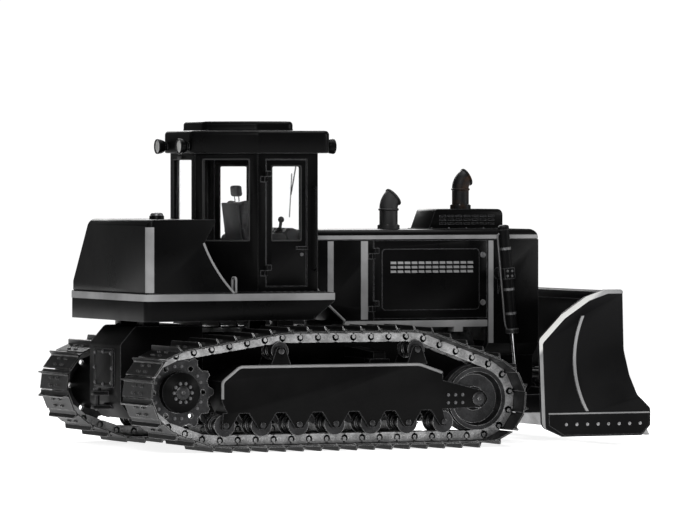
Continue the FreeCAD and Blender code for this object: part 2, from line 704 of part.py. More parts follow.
def platform():
    """Deck plate with a skirt round its sides and back, on four mounts."""
    half = DECK_HALF_WIDTH
    plan = ((DECK_REAR, -half, DECK_CORNER), (DECK_FRONT, -half), (DECK_FRONT, half),
            (DECK_REAR, half, DECK_CORNER))
    side, back = half - SKIRT_THICK, DECK_REAR + SKIRT_THICK
    corner = DECK_CORNER - SKIRT_THICK
    inner = ((back, -side, corner), (DECK_FRONT + 100.0, -side), (DECK_FRONT + 100.0, side),
             (back, side, corner))
    slope = ((DECK_FRONT - 260.0, SKIRT_BOTTOM - 9.0), (DECK_FRONT + 9.0, SKIRT_BOTTOM - 9.0),
             (DECK_FRONT + 9.0, DECK_BOTTOM))
    skirt = prism("xy", plan, SKIRT_BOTTOM, DECK_BOTTOM + 5.0)
    skirt = skirt.cut(prism("xy", inner, SKIRT_BOTTOM - 5.0, DECK_BOTTOM + 9.0))
    skirt = skirt.cut(prism("xz", slope, -half - 9.0, half + 9.0))
    pieces = [prism("xy", plan, DECK_BOTTOM, DECK_TOP), skirt]
    for (x, offset), seat in ((REAR_MOUNT, CASE_TOP), (FRONT_MOUNT, FRAME_TOP)):
        for y in (-offset, offset):
            pieces.append(box(x - 90.0, x + 90.0, y - 80.0, y + 80.0, seat + RUNNING_GAP, DECK_BOTTOM + 5.0))
    return fused(pieces)


def tank_side_box():
    """Side box whose front edge steps back under a lip, then sweeps down and forward."""
    low = DECK_TOP + RUNNING_GAP
    back = TANK_FRONT - 50.0
    lip = TANK_TOP - 30.0
    neck = V(TANK_FRONT, 0, TANK_TOP - TANK_NECK_DROP)
    foot = V(TANK_ARM_FRONT, 0, low)
    sweep = V(TANK_FRONT + 0.42 * (TANK_ARM_FRONT - TANK_FRONT), 0, low + 0.47 * (neck.z - low))
    corners = [foot, V(back, 0, low), V(back, 0, TANK_TOP), V(TANK_LIP_FRONT, 0, TANK_TOP),
               V(TANK_LIP_FRONT, 0, lip), neck]
    edges = [Part.makeLine(corners[i], corners[i + 1]) for i in range(len(corners) - 1)]
    edges.append(Part.Arc(neck, sweep, foot).toShape())
    side = Part.Face(Part.Wire(edges)).extrude(V(0, DECK_HALF_WIDTH - TANK_ARM_IN, 0))
    side.translate(V(0, TANK_ARM_IN, 0))
    return side


def fuel_tank():
    """Tank across the rear of the deck, with its side boxes, a leaning left side and a filler."""
    half = DECK_HALF_WIDTH
    low = DECK_TOP + RUNNING_GAP
    main = prism("xz", ((TANK_REAR, low), (TANK_REAR, TANK_TOP, 70.0), (TANK_FRONT, TANK_TOP),
                        (TANK_FRONT, low)), -half, half)
    plan = ((TANK_REAR, -half, 45.0), (TANK_FRONT, -half), (TANK_FRONT, half), (TANK_REAR, half, 45.0))
    main = main.common(prism("xy", plan, low, TANK_TOP))
    arm = tank_side_box()
    slope = ((half + 9.0, low + 60.0), (half + 9.0, TANK_TOP + 9.0), (TANK_LEFT_TOP, TANK_TOP + 9.0),
             (TANK_LEFT_TOP, TANK_TOP), (half, low + 60.0))
    lean = prism("yz", slope, TANK_REAR - 9.0, TANK_ARM_FRONT + 9.0)
    tank = fused([main, arm, mirrored(arm)]).cut(lean)
    along, across = FILLER_PLACE
    filler = pin_from(V(TANK_REAR + along, across, TANK_TOP - 5.0), V(0, 0, 1), FILLER_RADIUS, 45.0)
    return fused([tank, filler])


def offset_plan(plan, distance):
    """Plan outline moved inwards (corners given counter-clockwise from above)."""
    moved = []
    for i, (bx, by) in enumerate(plan):
        ax, ay = plan[i - 1]
        cx, cy = plan[(i + 1) % len(plan)]
        first = math.atan2(by - ay, bx - ax)
        second = math.atan2(cy - by, cx - bx)
        lean = (second - first + math.pi) % (2.0 * math.pi) - math.pi
        bisector = first + lean / 2.0 + math.pi / 2.0
        reach = distance / math.cos(lean / 2.0)
        moved.append((bx + reach * math.cos(bisector), by + reach * math.sin(bisector)))
    return moved


def wall_slab(wall, margins, depths, heights):
    """Block along one cab wall, between margins from its ends and depths inwards from its face."""
    index = WALL_NAMES.index(wall)
    ax, ay = CAB_PLAN[index]
    bx, by = CAB_PLAN[(index + 1) % len(CAB_PLAN)]
    length = math.hypot(bx - ax, by - ay)
    ux, uy = (bx - ax) / length, (by - ay) / length
    start, stop = margins[0], length - margins[1]
    corners = []
    for along, deep in ((start, depths[0]), (stop, depths[0]), (stop, depths[1]), (start, depths[1])):
        corners.append((ax + ux * along - uy * deep, ay + uy * along + ux * deep))
    return prism("xy", corners, *heights)


def knuckles(x, face_y, toward, heights, upper):
    """Hinge knuckles beside a left face; toward is 1 for a leaf to the front, -1 to the rear."""
    pieces = []
    shift = (HINGE_TALL + RUNNING_GAP) / 2.0
    for middle in heights:
        z = middle + shift if upper else middle - shift
        low, high = z - HINGE_TALL / 2.0, z + HINGE_TALL / 2.0
        y = face_y + HINGE_OUT
        x0, x1 = sorted((x, x + toward * HINGE_LEAF))
        pieces.append(rod("z", V(x, y, z), HINGE_RADIUS, HINGE_TALL))
        pieces.append(box(x0, x1, face_y - 1.0, face_y + 7.0, low, high))
        pieces.append(box(x - 4.0, x + 4.0, face_y + 3.0, y, low, high))
    return pieces


def cab_shell():
    """Hollow cab: floor, walls with window and door openings, and a head rail."""
    through = (-CAB_WALL, 2.0 * CAB_WALL)
    outer = prism("xy", CAB_PLAN, CAB_LOW, CAB_TOP)
    inner = prism("xy", offset_plan(CAB_PLAN, CAB_WALL), FLOOR_TOP, CAB_TOP + 9.0)
    openings = []
    for wall, start, stop, bottom in WINDOWS:
        openings.append(wall_slab(wall, (start, stop), through, (bottom, HEAD_Z)))
    for wall, start, stop in DOORWAYS:
        openings.append(wall_slab(wall, (start, stop), through, (DOOR_BOTTOM, HEAD_Z)))
    cab = outer.cut(inner).cut(Part.Compound(openings))
    hinges = fused(knuckles(CAB_HINGE_X, CAB_HALF, -1, CAB_HINGES, False))
    return fused([cab, hinges, mirrored(hinges)])


def cab_glass():
    """Fixed panes, each set in the middle of its wall."""
    depths = ((CAB_WALL - GLASS) / 2.0, (CAB_WALL + GLASS) / 2.0)
    panes = []
    for wall, start, stop, bottom in WINDOWS:
        panes.append(wall_slab(wall, (start + RUNNING_GAP, stop + RUNNING_GAP), depths,
                               (bottom + RUNNING_GAP, HEAD_Z - RUNNING_GAP)))
    return Part.Compound(panes)


def cab_roof():
    """Roof slab with an overhang all round, soft upper edges and a raised middle."""
    plan = offset_plan(CAB_PLAN, -ROOF_OVERHANG)
    brow = CAB_FRONT_X + ROOF_BROW
    plan[2] = (brow, plan[2][1])
    plan[3] = (brow, plan[3][1])
    slab = prism("xy", [(x, y, 90.0) for x, y in plan], CAB_TOP + RUNNING_GAP, ROOF_EDGE_Z)
    slab = rounded_at(slab, ROOF_EDGE_Z, ROOF_ROUNDING)
    crown_plan = offset_plan(plan, CROWN_INSET)
    crown_plan[2] = (brow - CROWN_FRONT_INSET, crown_plan[2][1])
    crown_plan[3] = (brow - CROWN_FRONT_INSET, crown_plan[3][1])
    crown = prism("xy", [(x, y, 90.0) for x, y in crown_plan], ROOF_EDGE_Z - 5.0, ROOF_TOP_Z)
    return fused([slab, rounded_at(crown, ROOF_TOP_Z, CROWN_ROUNDING)])


def door_window(side, gap):
    """Wall and margins of a cab door's window; gap is added all round."""
    wall, start, stop = DOORWAYS[0] if side < 0 else DOORWAYS[1]
    border = DOOR_GAP + DOOR_BORDER + gap
    return wall, (start + border, stop + border), (SILL_Z + gap, HEAD_Z - border)


def cab_door(side):
    """Door panel with its window cut, hinged at its rear edge; side is 1 for the left."""
    wall, start, stop = DOORWAYS[0] if side < 0 else DOORWAYS[1]
    gaps = (DOOR_GAP, DOOR_FREE_GAP) if side < 0 else (DOOR_FREE_GAP, DOOR_GAP)
    panel = wall_slab(wall, (start + gaps[0], stop + gaps[1]), (0.0, CAB_WALL - DOOR_INSET),
                      (DOOR_BOTTOM + DOOR_GAP, HEAD_Z - DOOR_GAP))
    wall, margins, heights = door_window(side, 0.0)
    panel = panel.cut(wall_slab(wall, margins, (-CAB_WALL, 2.0 * CAB_WALL), heights))
    latch_x = CAB_FRONT_X - DOOR_LATCH_POST - GRIP_HALF
    grip_z = SILL_Z - GRIP_BELOW_SILL
    y0, y1 = sorted((side * CAB_HALF, side * (CAB_HALF + GRIP_DEPTH)))
    grip = box(latch_x - GRIP_HALF, latch_x + GRIP_HALF, y0, y1, grip_z - 15.0, grip_z + 15.0)
    hinges = fused(knuckles(CAB_HINGE_X, CAB_HALF, 1, CAB_HINGES, True))
    if side < 0:
        hinges = mirrored(hinges)
    return fused([panel, grip, hinges])


def door_glass(side):
    wall, margins, heights = door_window(side, RUNNING_GAP)
    middle = (CAB_WALL - DOOR_INSET) / 2.0
    return wall_slab(wall, margins, (middle - GLASS / 2.0, middle + GLASS / 2.0), heights)


def seat_base():
    """Tapered box under the seat."""
    low = FLOOR_TOP + RUNNING_GAP
    high = FLOOR_TOP + SEAT_BASE_HEIGHT
    half = SEAT_HALF - 50.0
    return prism("xz", ((SEAT_X - half, low), (SEAT_X + half, low), (SEAT_X + half - 40.0, high),
                        (SEAT_X - half + 30.0, high)), -half, half)


def seat_cushion():
    """Seat cushion, backrest and headrest in one closed form."""
    low = FLOOR_TOP + SEAT_BASE_HEIGHT + RUNNING_GAP
    back, head = low + BACKREST_HEIGHT, low + HEADREST_HEIGHT
    profile = ((SEAT_X + 195.0, low, 30.0), (SEAT_X + 195.0, low + 115.0, 40.0),
               (SEAT_X - 110.0, low + 110.0, 60.0), (SEAT_X - 170.0, back, 30.0),
               (SEAT_X - 280.0, back, 30.0), (SEAT_X - 220.0, low, 60.0))
    headrest = ((SEAT_X - 190.0, back - 20.0), (SEAT_X - 200.0, head, 30.0), (SEAT_X - 290.0, head, 30.0),
                (SEAT_X - 270.0, back - 20.0))
    return fused([prism("xz", profile, -SEAT_HALF, SEAT_HALF),
                  prism("xz", headrest, -SEAT_HALF / 2.0, SEAT_HALF / 2.0)])


def consoles():
    """Arm-rest boxes beside the seat, each with its control lever."""
    low, high = FLOOR_TOP + RUNNING_GAP, FLOOR_TOP + CONSOLE_HEIGHT
    profile = ((SEAT_X - 200.0, low), (SEAT_X + 110.0, low), (SEAT_X + 130.0, high, 60.0),
               (SEAT_X - 240.0, high - 20.0, 60.0))
    y = (CONSOLE_IN + CONSOLE_OUT) / 2.0
    lever = pin_from(V(SEAT_X + 70.0, y, high - 30.0), V(0.15, 0, 1), 16.0, 150.0)
    knob = Part.makeSphere(32.0, V(SEAT_X + 93.0, y, high + 130.0))
    left = fused([prism("xz", profile, CONSOLE_IN, CONSOLE_OUT), lever, knob])
    return Part.Compound([left, mirrored(left)])


def dashboard():
    """Column and instrument hood against the cab's front wall."""
    x = CAB_FRONT_X - CAB_WALL - RUNNING_GAP
    low = FLOOR_TOP + RUNNING_GAP
    profile = ((x, low), (x, DASH_TOP, 30.0), (x - 80.0, DASH_TOP + 30.0, 30.0),
               (x - 140.0, DASH_TOP - 40.0, 30.0), (x - 70.0, DASH_TOP - 200.0, 60.0), (x - 50.0, low))
    return prism("xz", profile, -DASH_HALF, DASH_HALF)


def hood_top():
    """Engine cover with round long edges and a round brow, from the cab to the guard's front."""
    half = HOOD_HALF
    front = GUARD_FRONT - 4.0
    across = ((-half, CAP_LOW), (half, CAP_LOW), (half, HOOD_TOP_Z, HOOD_SHOULDER),
              (-half, HOOD_TOP_Z, HOOD_SHOULDER))
    along = ((COWL_REAR, CAP_LOW), (front, CAP_LOW), (front, HOOD_TOP_Z, HOOD_BROW), (COWL_REAR, HOOD_TOP_Z))
    return prism("yz", across, COWL_REAR, front).common(prism("xz", along, -half, half))


def cowl():
    """Closed housing between the cab and the engine doors, sloped at its foot."""
    high = CAP_LOW - RUNNING_GAP
    low = RAIL_TOP + RUNNING_GAP
    side = ((COWL_REAR, high), (COWL_REAR, DECK_TOP + 40.0), (COWL_REAR + 130.0, SIDE_RAIL_Z + 250.0, 60.0),
            (COWL_REAR + COWL_SLOPE, low), (COWL_FRONT, low), (COWL_FRONT, high))
    hinges = fused(knuckles(HOOD_HINGE_X, HOOD_HALF, -1, HOOD_HINGES, False))
    return fused([prism("xz", side, -HOOD_HALF, HOOD_HALF), hinges, mirrored(hinges)])


def side_rails():
    """Rails along both sides of the engine bay, joined to the frame by brackets."""
    rail = box(COWL_REAR + COWL_SLOPE, GUARD_REAR - RUNNING_GAP, HOOD_HALF - SIDE_RAIL_WIDTH, HOOD_HALF,
               SIDE_RAIL_Z, RAIL_TOP)
    feet = [box(x - 50.0, x + 50.0, FRAME_HALF_WIDTH - FRAME_WALL, HOOD_HALF, FRAME_TOP + RUNNING_GAP,
                SIDE_RAIL_Z + 5.0) for x in (COWL_FRONT - REAR_FOOT_BEHIND, GUARD_REAR - FRONT_FOOT_BEHIND)]
    left = fused([rail] + feet)
    return Part.Compound([left, mirrored(left)])


def engine_door():
    """Left engine door: a sheet with a raised field and its hinge knuckles."""
    x0, x1 = COWL_FRONT + DOOR_GAP, GUARD_REAR - DOOR_GAP
    low, high = DOOR_LOW, CAP_LOW - DOOR_GAP
    y = HOOD_HALF
    field = ((x0 + FIELD_BORDER, low + FIELD_BORDER, 40.0), (x1 - FIELD_BORDER, low + FIELD_BORDER, 40.0),
             (x1 - FIELD_BORDER, high - FIELD_BORDER, 40.0), (x0 + FIELD_BORDER, high - FIELD_BORDER, 40.0))
    return fused([box(x0, x1, y - SHEET, y, low, high), prism("xz", field, y - 2.0, y + FIELD_PROUD)]
                 + knuckles(HOOD_HINGE_X, HOOD_HALF, 1, HOOD_HINGES, True))


def trunnion_bracket():
    """Boss, pin and gusset on the guard's left side that carry a lift cylinder."""
    along = V(0, 1, 0)
    seat_y = LIFT_Y - TRUNNION_HALF
    boss = pin_from(V(LIFT_TRUNNION_X, HOOD_HALF - 5.0, LIFT_TRUNNION_Z), along, TRUNNION_RADIUS + 32.0,
                    seat_y - HOOD_HALF - 1.0)
    pin = pin_from(V(LIFT_TRUNNION_X, seat_y - 8.0, LIFT_TRUNNION_Z), along, TRUNNION_RADIUS,
                   TRUNNION_DEPTH + 6.0)
    gusset = prism("yz", ((HOOD_HALF - 5.0, LIFT_TRUNNION_Z - 230.0), (seat_y - 20.0, LIFT_TRUNNION_Z - 50.0),
                          (seat_y - 20.0, LIFT_TRUNNION_Z), (HOOD_HALF - 5.0, LIFT_TRUNNION_Z)),
                   LIFT_TRUNNION_X - 15.0, LIFT_TRUNNION_X + 15.0)
    return fused([boss, pin, gusset])


def radiator_guard():
    """Heavy frame round the radiator, open at the front for the grille."""
    half = HOOD_HALF
    low = GUARD_BOTTOM + RUNNING_GAP
    high = CAP_LOW - RUNNING_GAP
    side = half - GUARD_WALL
    outer = ((-half, high), (-half, low + 120.0), (-half + 120.0, low), (half - 120.0, low),
             (half, low + 120.0), (half, high))
    inner = ((-side, high - 60.0, 30.0), (-side, low + 150.0), (-side + 80.0, low + GUARD_WALL),
             (side - 80.0, low + GUARD_WALL), (side, low + 150.0), (side, high - 60.0, 30.0))
    guard = prism("yz", outer, GUARD_REAR, GUARD_FRONT)
    guard = guard.cut(prism("yz", inner, GUARD_REAR - 5.0, GUARD_FRONT + 5.0))
    bracket = trunnion_bracket()
    return fused([guard, bracket, mirrored(bracket)])


# Sizes that follow for the grille and radiator
CORE_HALF = HOOD_HALF - GUARD_WALL - RUNNING_GAP
CORE_LOW = GUARD_BOTTOM + 150.0
CORE_HIGH = CAP_LOW - 60.0 - 3.0 * RUNNING_GAP


def grille():
    """Front grille: a frame and upright bars."""
    half, low, high = CORE_HALF, CORE_LOW, CORE_HIGH
    x1 = GUARD_FRONT - 20.0
    x0 = x1 - GRILLE_DEPTH
    side, foot, head = half - GRILLE_FRAME, low + GRILLE_FRAME, high - GRILLE_FRAME
    outer = prism("yz", ((-half, low), (half, low), (half, high, 30.0), (-half, high, 30.0)), x0, x1)
    inner = prism("yz", ((-side, foot), (side, foot), (side, head), (-side, head)), x0 - 5.0, x1 + 5.0)
    pieces = [outer.cut(inner)]
    for i in range(GRILLE_BARS):
        y = -side + 2.0 * side * (i + 1) / (GRILLE_BARS + 1)
        y0, y1 = y - BAR_WIDTH / 2.0, y + BAR_WIDTH / 2.0
        pieces.append(box(x0 + 10.0, x1 - 5.0, y0, y1, foot - 5.0, head + 5.0))
    return fused(pieces)


def radiator_core():
    """Core with its fan shroud towards the engine."""
    rear = GUARD_REAR + 60.0
    core = box(rear, rear + RADIATOR_DEPTH, -CORE_HALF, CORE_HALF, CORE_LOW + RUNNING_GAP, CORE_HIGH - 35.0)
    shroud = Part.makeCone(FAN_RADIUS + 50.0, FAN_RADIUS, 110.0, V(rear + 1.0, 0, FAN_Z), V(-1, 0, 0))
    return fused([core, shroud])


def engine():
    """Plain engine block on two cross members."""
    wide = FRAME_HALF_WIDTH - FRAME_WALL - ENGINE_GAP
    narrow = wide - 80.0
    low, high = FRAME_BOTTOM + 190.0, FRAME_BOTTOM + 1350.0
    block = prism("yz", ((-narrow, low), (narrow, low), (wide, low + 280.0), (wide, high - 280.0),
                         (narrow, high, 60.0), (-narrow, high, 60.0), (-wide, high - 280.0),
                         (-wide, low + 280.0)), ENGINE_REAR, ENGINE_FRONT)
    reach = FRAME_HALF_WIDTH - FRAME_WALL - RUNNING_GAP
    feet = [box(x - 60.0, x + 60.0, -reach, reach, low + 20.0, low + 120.0)
            for x in (ENGINE_REAR + 130.0, ENGINE_FRONT - 130.0)]
    return fused([block] + feet)


def muffler_box():
    """Low box on the hood with a slanted rear face and a round front edge."""
    low = HOOD_TOP_Z + RUNNING_GAP
    high = low + BOX_HEIGHT
    return prism("xz", ((BOX_REAR, low), (BOX_REAR + 80.0, high, 40.0), (BOX_FRONT, high, 60.0),
                        (BOX_FRONT, low)), -BOX_HALF, BOX_HALF)


def elbow_stack(x, low, radius, rise, bend, turn, bead):
    """Upright pipe with a bead below its elbow and an open mouth that points forward."""
    def place(angle, out):
        return V(x + bend - (bend + out) * math.cos(angle), 0, low + rise + (bend + out) * math.sin(angle))
    start, top = V(x, 0, low), V(x, 0, low + rise)
    path = Part.Wire([Part.makeLine(start, top),
                      Part.Arc(top, place(turn / 2.0, 0.0), place(turn, 0.0)).toShape()])
    tube, hollow = [path.makePipeShell([Part.Wire(Part.makeCircle(size, start, V(0, 0, 1)))], True, True)
                    for size in (radius, radius - PIPE_WALL)]
    plug = pin_from(start, V(0, 0, 1), radius - PIPE_WALL / 2.0, rise - 60.0)
    collar = pin_from(start, V(0, 0, 1), radius + 20.0, 40.0)
    ring = Part.makeTorus(radius - 2.0, bead, V(x, 0, low + rise - bead), V(0, 0, 1))
    mouth_ring = Part.makeTorus(radius - 2.0, bead, place(turn, 0.0), V(math.sin(turn), 0, math.cos(turn)))
    return fused([tube.cut(hollow), plug, collar, ring, mouth_ring.cut(hollow)])


def exhaust_pipe():
    """Stack behind the middle of the muffler box."""
    low = HOOD_TOP_Z + BOX_HEIGHT + 2.0 * RUNNING_GAP
    return elbow_stack(BOX_REAR + EXHAUST_FROM_BOX, low, EXHAUST_RADIUS, EXHAUST_RISE, EXHAUST_BEND,
                       math.radians(62.0), 12.0)


def air_intake():
    """Shorter and wider stack on the hood behind the muffler box."""
    return elbow_stack(INTAKE_X, HOOD_TOP_Z + RUNNING_GAP, INTAKE_RADIUS, INTAKE_RISE, INTAKE_BEND,
                       math.radians(50.0), 14.0)


def work_lamps():
    """Round lamps on the roof's front and rear edges."""
    lamps = []
    for x, offset, way in ((CAB_REAR_X - ROOF_OVERHANG, LAMP_REAR_Y, -1),
                           (CAB_FRONT_X + ROOF_BROW, LAMP_FRONT_Y, 1)):
        for y in (-offset, offset):
            outward = V(way, 0, 0)
            foot = pin_from(V(x + way * RUNNING_GAP, y, LAMP_Z), outward, 45.0, 30.0)
            case = Part.makeCone(LAMP_RADIUS - 20.0, LAMP_RADIUS, 60.0, V(x + way * 28.0, y, LAMP_Z), outward)
            rim = pin_from(V(x + way * 88.0, y, LAMP_Z), outward, LAMP_RADIUS, 20.0)
            lamps.append(fused([foot, case, rim]))
    return Part.Compound(lamps)


# Sizes that follow for the blade group
NOSE_FRONT = NOSE_REAR + NOSE_DEPTH
TILT_CYLINDER_X = NOSE_FRONT + TILT_CLEAR
BLADE_INNER = BLADE_HALF - END_PLATE


def c_frame():
    """Two push arms joined by a nose beam, with studs for the cylinders and the tilt bearing."""
    low = ARM_FRONT_Z - ARM_HEIGHT / 2.0
    high = ARM_FRONT_Z + ARM_HEIGHT / 2.0
    x, z = ARM_PIVOT_X, ARM_PIVOT_Z
    side = ((x - 110.0, z - 110.0, 90.0), (x + 60.0, z - 130.0, 60.0), (x + 620.0, low, 200.0),
            (NOSE_FRONT, low), (NOSE_FRONT, high), (x + 700.0, high, 200.0), (x + 60.0, z + 120.0, 60.0),
            (x - 110.0, z + 110.0, 90.0))
    outer = ARM_INNER + ARM_WIDTH
    eye = rod("y", V(x, outer, z), ARM_PIN_RADIUS + PIN_CLEARANCE, 4.0 * ARM_WIDTH)
    stud_start = V(LIFT_EYE_X, outer - 2.0, LIFT_EYE_Z)
    stud = pin_from(stud_start, V(0, 1, 0), LIFT_PIN_RADIUS, LIFT_Y + 45.0 - outer)
    boss = pin_from(stud_start, V(0, 1, 0), 70.0, LIFT_Y - 40.0 - outer)
    left = fused([prism("xz", side, ARM_INNER, outer).cut(eye), stud, boss])
    beam = prism("yz", ((-outer, low), (outer, low), (outer, high), (300.0, high + NOSE_HUMP, 60.0),
                        (-300.0, high + NOSE_HUMP, 60.0), (-outer, high)), NOSE_REAR, NOSE_FRONT)
    bearing = pin_from(V(NOSE_FRONT - 5.0, 0, TILT_Z), V(1, 0, 0), BEARING_RADIUS, BEARING_DEPTH)
    bore = pin_from(V(NOSE_REAR + 20.0, 0, TILT_Z), V(1, 0, 0), TILT_PIN_RADIUS + PIN_CLEARANCE,
                    NOSE_DEPTH + 4.0 * BEARING_DEPTH)
    y = TILT_BASE_Y
    tower = prism("yz", ((y - 65.0, high - 5.0), (y + 65.0, high - 5.0), (y + 45.0, TILT_ROD_Z + 40.0, 25.0),
                         (y - 45.0, TILT_ROD_Z + 40.0, 25.0)), NOSE_FRONT - 30.0, NOSE_FRONT)
    pin = pin_from(V(NOSE_FRONT - 5.0, y, TILT_ROD_Z), V(1, 0, 0), TILT_BASE_PIN, TILT_CLEAR + 39.0)
    return fused([left, mirrored(left), beam, bearing, tower, pin]).cut(bore)


def moldboard():
    """Hollow curved plate from the top edge to the cutting edge."""
    points = [V(x, 1.0 - BLADE_INNER - 3.0, z) for x, z in
              ((BOARD_TOP_X, BLADE_TOP - 15.0), BOARD_MIDDLE, BOARD_FOOT)]
    back = [point - V(BOARD_THICK, 0, 0) for point in points]
    edges = [Part.Arc(*points).toShape(), Part.makeLine(points[2], back[2]),
             Part.Arc(*reversed(back)).toShape(), Part.makeLine(back[0], points[0])]
    return Part.Face(Part.Wire(edges)).extrude(V(0, 2.0 * BLADE_INNER + 4.0, 0))


def end_plate():
    """Left sail-shaped end plate, with a raised rim on its rear and top edges and a curved rib."""
    top = BLADE_TOP
    low, back = BLADE_BOTTOM, PLATE_BACK
    tip, board = EDGE_TIP_X - 5.0, BOARD_TOP_X
    corners = ((back + 270.0, low), (tip - 102.0, low), (tip, low + 105.0, 40.0), (tip, low + 272.0, 40.0),
               (tip - 152.0, low + 420.0, 80.0), (tip - 242.0, low + 620.0, 200.0),
               (board + 20.0, low + 880.0, 300.0), (board + 5.0, top, 30.0), (board - 205.0, top, 60.0),
               (board - 415.0, top - 70.0, 120.0), (back + 250.0, top - 250.0, 150.0),
               (back, top - 500.0, 60.0), (back + 35.0, low + 100.0, 90.0))
    face = BLADE_HALF - RIM_PROUD
    plate = prism("xz", corners, BLADE_INNER, face)
    rim = prism("xz", corners, face - 1.0, BLADE_HALF)
    inside = prism("xz", corners, face - 2.0, BLADE_HALF + 1.0)
    rim = rim.cut(inside.translated(V(RIM_WIDTH, 0, -RIM_WIDTH)))
    points = [V(back + x, face - 1.0, low + z) for x, z in ((480.0, 1230.0), (385.0, 780.0), (530.0, 260.0))]
    front = [point + V(32.0, 0, 0) for point in points]
    edges = [Part.Arc(*points).toShape(), Part.makeLine(points[2], front[2]),
             Part.Arc(*reversed(front)).toShape(), Part.makeLine(front[0], points[0])]
    rib = Part.Face(Part.Wire(edges)).extrude(V(0, RIM_PROUD + 1.0, 0))
    return fused([plate, rim, rib])


def blade():
    """Moldboard with its back rails, ribs, end plates, tilt pin and cylinder ear."""
    inner = BLADE_INNER + 1.0
    back = BOARD_MIDDLE[0] - BOARD_THICK
    plate = end_plate()
    pieces = [moldboard(), plate, mirrored(plate)]
    top = BLADE_TOP
    upper_rail = ((BOARD_TOP_X - 10.0, top - 120.0), (BOARD_TOP_X - 10.0, top - 15.0),
                  (BOARD_TOP_X - 75.0, top - 30.0), (BOARD_TOP_X - 85.0, top - 110.0))
    pieces.append(prism("xz", upper_rail, -inner, inner))
    lower_rail = ((back + 98.0, 320.0), (back + 48.0, 620.0), (back - 52.0, 590.0), (back - 72.0, 360.0))
    for y0, y1 in ((-inner, -HUB_BLOCK_HALF), (HUB_BLOCK_HALF, inner)):
        pieces.append(prism("xz", lower_rail, y0, y1))
    rib = ((back + 28.0, 560.0), (back + 18.0, top - 90.0), (back - 7.0, top - 90.0), (back - 47.0, 580.0))
    for offset in RIB_YS:
        for y in (-offset, offset):
            pieces.append(prism("xz", rib, y - RIB_THICK / 2.0, y + RIB_THICK / 2.0))
    hub_x = NOSE_FRONT + BEARING_DEPTH
    hub = pin_from(V(hub_x, 0, TILT_Z), V(1, 0, 0), BEARING_RADIUS + 10.0, 120.0)
    block = prism("xz", ((hub_x + 15.0, TILT_Z - 125.0), (back + 108.0, TILT_Z - 125.0),
                         (back + 53.0, TILT_Z + 190.0), (hub_x + 45.0, TILT_Z + 150.0)),
                  -HUB_BLOCK_HALF, HUB_BLOCK_HALF)
    pin = pin_from(V(NOSE_REAR + 40.0, 0, TILT_Z), V(1, 0, 0), TILT_PIN_RADIUS, NOSE_DEPTH + BEARING_DEPTH)
    y, z = TILT_EYE_Y, TILT_ROD_Z
    ear = prism("yz", ((y - 60.0, z - 60.0, 30.0), (y + 60.0, z - 60.0, 30.0), (y + 60.0, z + 60.0, 30.0),
                       (y - 60.0, z + 60.0, 30.0)), hub_x + 25.0, back + 46.0)
    ear_pin = pin_from(V(NOSE_FRONT + 25.0, y, z), V(1, 0, 0), TILT_EYE_PIN, BEARING_DEPTH + 5.0)
    return fused(pieces + [hub, block, pin, ear, ear_pin])


def cutting_edge():
    """Bolted edge along the foot of the moldboard."""
    inner = BLADE_INNER - RUNNING_GAP
    x, z = BOARD_FOOT
    shape = ((x + RUNNING_GAP, z - 8.0), (x + 14.0, z + 15.0), (x + EDGE_THICK, z + 12.0),
             (EDGE_TIP_X, BLADE_BOTTOM + 6.0), (EDGE_TIP_X - 10.0, BLADE_BOTTOM),
             (EDGE_TIP_X - 10.0 - EDGE_THICK, BLADE_BOTTOM))
    return prism("xz", shape, -inner, inner)


# Sizes that follow for the lift cylinders
LIFT_REST_LENGTH = math.hypot(LIFT_TRUNNION_X - LIFT_EYE_X, LIFT_TRUNNION_Z - LIFT_EYE_Z)
LIFT_LEAN = math.degrees(math.atan2(LIFT_EYE_X - LIFT_TRUNNION_X, LIFT_TRUNNION_Z - LIFT_EYE_Z))
LIFT_EYE = V(LIFT_EYE_X, LIFT_Y, LIFT_EYE_Z)
UP = V(0, 0, 1)


def leaned(shape):
    """Lift cylinder piece, modelled upright over its eye, turned to point at its trunnion."""
    shape.rotate(LIFT_EYE, V(0, 1, 0), -LIFT_LEAN)
    return shape


def lift_barrel():
    """Lift cylinder's barrel with its trunnion block and gland."""
    base = LIFT_EYE + UP * LIFT_GLAND
    tube = pin_from(base, UP, LIFT_TUBE_RADIUS, LIFT_BARREL)
    gland = pin_from(base, UP, LIFT_TUBE_RADIUS + 6.0, 50.0)
    bore = pin_from(base - UP, UP, LIFT_ROD_RADIUS + PIN_CLEARANCE, LIFT_BARREL - 30.0)
    middle = LIFT_EYE_Z + LIFT_REST_LENGTH
    half = LIFT_TUBE_RADIUS + 2.0
    block = box(LIFT_EYE_X - half, LIFT_EYE_X + half, LIFT_Y - TRUNNION_HALF, LIFT_Y + half + 4.0,
                middle - 55.0, middle + 55.0)
    socket = pin_from(V(LIFT_EYE_X, LIFT_Y - TRUNNION_HALF - 1.0, middle), V(0, 1, 0),
                      TRUNNION_RADIUS + PIN_CLEARANCE, TRUNNION_DEPTH)
    return leaned(fused([tube, block, gland]).cut(bore).cut(socket))


def lift_rod():
    """Lift cylinder's rod with the eye that hangs on the arm's stud."""
    start = LIFT_EYE_RADIUS - 20.0
    bar = pin_from(LIFT_EYE + UP * start, UP, LIFT_ROD_RADIUS, LIFT_GLAND + LIFT_ENGAGED - start)
    ring = rod("y", LIFT_EYE, LIFT_EYE_RADIUS, 60.0)
    hole = rod("y", LIFT_EYE, LIFT_PIN_RADIUS + LIFT_PIN_PLAY, 200.0)
    return leaned(fused([bar, ring]).cut(hole))


